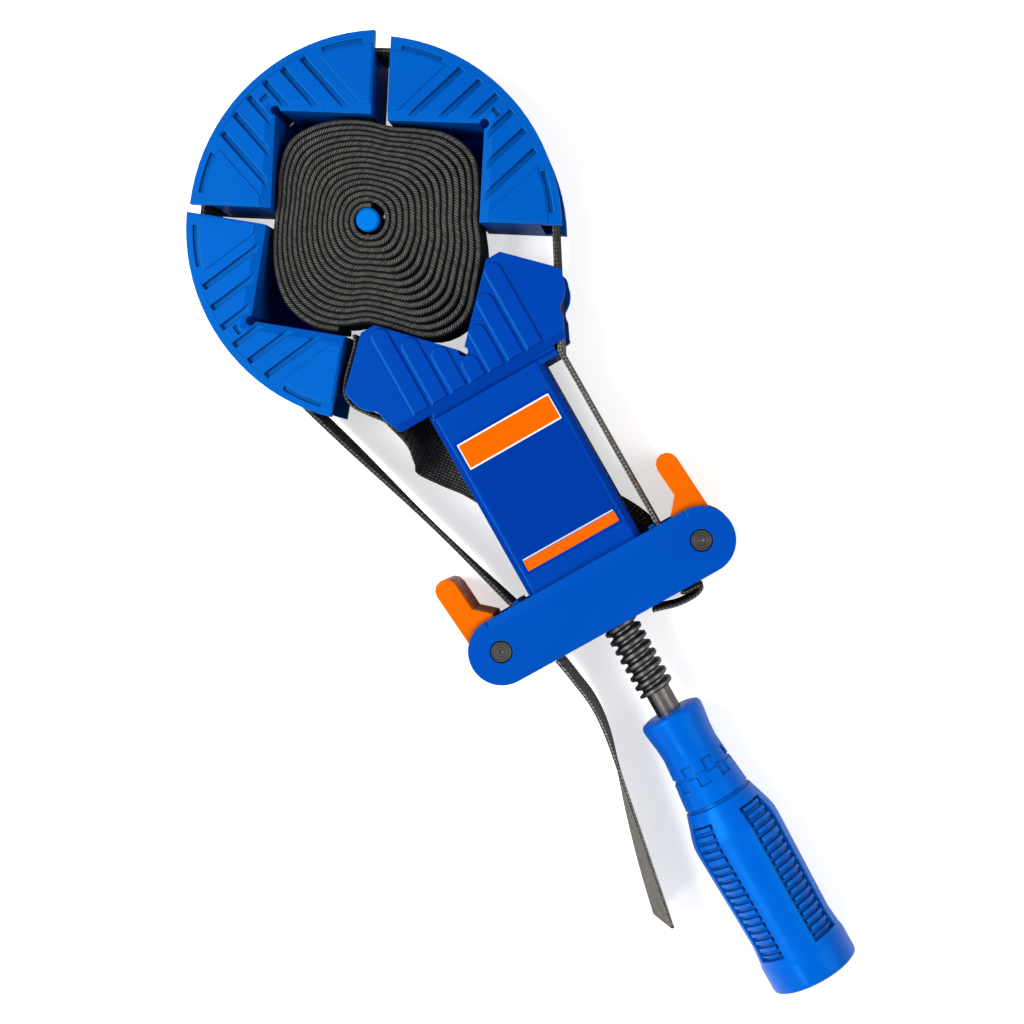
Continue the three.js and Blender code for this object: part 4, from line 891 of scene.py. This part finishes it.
SHANK_PROFILE = [
    (0, -166 * MM), (SHANK_RADIUS - 0.7 * MM, -166 * MM), (SHANK_RADIUS, -165.3 * MM),
    (SHANK_RADIUS, -79 * MM), (TIP_RADIUS, -78.5 * MM), (TIP_RADIUS, -76.4 * MM),
    (SHANK_RADIUS, -75.9 * MM), (SHANK_RADIUS, -72.1 * MM), (TIP_RADIUS, -70.6 * MM), (0, -70.6 * MM),
]
shank = spun(SHANK_PROFILE, 64, SCREW_AXIS)
finish_piece(shank, "screw_shank", "screw_and_handle", DARK_STEEL, ["lead_screw"])
finish_piece(threaded_rod(), "screw_thread", "screw_and_handle", DARK_STEEL, ["lead_screw"])

# %% [markdown]
# The lever pins are turned steel, with a dimple in the middle of the face and
# two fine rings left by the tool.

# %% Lever pins
PIN_X = 42 * MM
CROSSBAR_Y = -96.1 * MM
PIN_PROFILE = [
    (0, 0), (3.85, 0), (3.85, 0.5), (3.0, 0.5), (3.0, 2.0), (3.85, 2.0), (3.85, 33.0),
    (3.6, 33.3), (3.1, 33.3), (3.0, 33.1), (2.8, 33.1), (2.7, 33.3), (2.0, 33.3),
    (1.9, 33.1), (1.7, 33.1), (1.6, 33.3), (0.9, 33.3), (0, 32.5),
]


def lever_pin(word, side):
    """One pin, spun about its own upright axis."""
    centre = Vector((side * PIN_X, CROSSBAR_Y, 0))
    bm = spun([(r * MM, z * MM) for r, z in PIN_PROFILE], 64, centre, UP)
    finish_piece(bm, f"turned_pin_{word}", "crossbar", PIN_STEEL, [f"lever_pin_{word}"])


lever_pin("left", -1)
lever_pin("right", 1)

# %% [markdown]
# The handle is a hollow moulding. Its outline is spun on a fine grid, and the
# panels, ribs and lines are then groups of that grid's faces, pushed in or
# drawn out along their normals. A sculpted or boolean handle would look the
# same, but here each feature is a choice of rows and columns.

# %% Handle
HANDLE_POINTS = [
    (9.5, -146.5), (11.3, -146.8), (12.3, -148.4), (12.1, -151), (11.2, -157.5), (10.9, -162), (11.5, -169),
    (12.5, -178), (13.0, -182.8), (13.5, -184), (16.4, -193), (17.05, -196), (17.1, -199), (16.6, -216),
    (16.0, -238), (16.6, -244.5), (17.1, -247), (17.15, -255.5), (16.8, -256.7), (15.6, -257.1),
]
HANDLE_COLUMNS = 144
HANDLE_ROW = 0.76
PANEL_TOP, PANEL_END = -188.5, -243.5
PANEL_TURNS = [45, 135, 225, 315]
PANEL_HALF = 22.0
RIB_PITCH_ROWS = 4
RIB_LAST_ROW = 70
RIB_SIDE_GAP = 4
PANEL_PUSH, PANEL_INSET = -1.6, 0.35
RIB_PUSH, RIB_INSET = 1.1, 0.12
MOTIF_PUSH, MOTIF_INSET = -0.7, 0.2
MOTIF_Y, MOTIF_SWING, MOTIF_HALF = -170.5, 1.9, 2.6
MOTIF_TURN = 45
SEAM_LOW, SEAM_TOP = -183.4, -182.4
GRIP_LEAST_RADIUS = 10.4
BORE_RADIUS = 5.2


def handle_radius(y):
    """The handle's radius at a place along it, in mm."""
    for (r0, y0), (r1, y1) in zip(HANDLE_POINTS, HANDLE_POINTS[1:]):
        if y1 <= y <= y0:
            return r0 + (r1 - r0) * (y0 - y) / (y0 - y1)
    return HANDLE_POINTS[-1][0]


def handle_blank():
    """The handle as a plain turned form on a fine grid."""
    top, low = HANDLE_POINTS[0][1], HANDLE_POINTS[-1][1]
    rows = round((top - low) / HANDLE_ROW)
    profile = [(0, top * MM), (BORE_RADIUS * MM, top * MM)]
    for i in range(rows + 1):
        y = top - (top - low) * i / rows
        profile.append((handle_radius(y) * MM, y * MM))
    profile += [(0, low * MM)]
    return spun(profile, HANDLE_COLUMNS, SCREW_AXIS)


def face_place(face):
    """A face's Y in mm, its turn about the handle's axis in degrees from +Z, and its way out."""
    centre = face.calc_center_median()
    offset = centre - SCREW_AXIS
    turn = math.degrees(math.atan2(offset.x, offset.z)) % 360
    return centre.y / MM, turn, Vector((offset.x, 0, offset.z))


def push(bm, faces, depth_mm, inset_mm):
    """Insets a group of faces as one region, and moves it in or out."""
    if faces:
        bmesh.ops.inset_region(bm, faces=faces, thickness=inset_mm * MM, depth=0, use_even_offset=True,
                               use_boundary=True)
        moved = {v for f in faces for v in f.verts}
        for vert in moved:
            outward = Vector((vert.co.x - SCREW_AXIS.x, 0, vert.co.z - SCREW_AXIS.z)).normalized()
            vert.co += outward * depth_mm * MM


def turn_from(turn, middle):
    """How far a turn lies from another, between -180 and 180 degrees."""
    return (turn - middle + 180) % 360 - 180


def build_handle():
    """The handle with its four ribbed panels, its neck motif and its seam."""
    bm = handle_blank()
    outside = [f for f in bm.faces
               if face_place(f)[2].length > GRIP_LEAST_RADIUS * MM and abs(f.normal.y) < 0.9]
    pockets, band = {m: [] for m in PANEL_TURNS}, []
    for face in outside:
        y, turn, _ = face_place(face)
        for middle in PANEL_TURNS:
            if PANEL_END < y < PANEL_TOP and abs(turn_from(turn, middle)) < PANEL_HALF:
                pockets[middle].append(face)
        wave = abs(((turn + MOTIF_TURN / 2) % MOTIF_TURN) - MOTIF_TURN / 2)
        middle_y = MOTIF_Y + (MOTIF_SWING if wave > MOTIF_TURN / 4 else -MOTIF_SWING)
        if abs(y - middle_y) < MOTIF_HALF:
            band.append(face)
        if SEAM_LOW < y < SEAM_TOP:
            band.append(face)
    for faces in pockets.values():
        push(bm, faces, PANEL_PUSH, PANEL_INSET)
    push(bm, band, MOTIF_PUSH, MOTIF_INSET)
    for middle, faces in pockets.items():
        rows = {}
        for face in faces:
            y, turn, _ = face_place(face)
            row = int((PANEL_TOP - y) / HANDLE_ROW)
            inside = abs(turn_from(turn, middle)) < PANEL_HALF - RIB_SIDE_GAP
            if inside and row % RIB_PITCH_ROWS in (1, 2) and row < RIB_LAST_ROW:
                rows.setdefault(row // RIB_PITCH_ROWS, []).append(face)
        for group in rows.values():
            push(bm, group, RIB_PUSH, RIB_INSET)
    return bm


finish_piece(build_handle(), "handle_moulding", "screw_and_handle", HANDLE_BLUE,
             ["handle_grip"])

# %% [markdown]
# The stem's face has a printed label: a blue ground and two bare bands. Each
# is a thin film on what lies below it.

# %% Printed bands
STEM_FACE_Z = 29.4
FILM_THICK = 0.05


def film(name, x0, x1, y0, y1, lift, material):
    """A thin rectangle with rounded corners, lifted a little off the stem's face."""
    bm = bmesh.new()
    bmesh.ops.create_cube(bm, size=1)
    bmesh.ops.scale(bm, vec=Vector((x1 - x0, y1 - y0, FILM_THICK)) * MM, verts=bm.verts)
    middle = Vector(((x0 + x1) / 2, (y0 + y1) / 2, STEM_FACE_Z + lift + FILM_THICK / 2)) * MM
    bmesh.ops.translate(bm, vec=middle, verts=bm.verts)
    uprights = [e for e in bm.edges if abs(e.verts[0].co.z - e.verts[1].co.z) > FILM_THICK * MM / 2]
    bmesh.ops.bevel(bm, geom=uprights, offset=0.3 * MM, affect="EDGES", segments=3, profile=0.5, material=-1)
    finish_piece(bm, name, "root", material)


film("label_ground", -20.2, 20.4, -76.4, -20.4, 0, FILM_BLUE)
film("upper_band_border", -19.3, 19.5, -32.1, -21.6, FILM_THICK, FILM_WHITE)
film("upper_band", -18.9, 19.1, -31.5, -22.2, FILM_THICK * 2, FILM_ORANGE)
film("lower_band", -19.0, 19.3, -75.2, -71.2, FILM_THICK, FILM_ORANGE)
film("lower_line", -19.0, 19.3, -70.9, -70.4, FILM_THICK, FILM_WHITE)
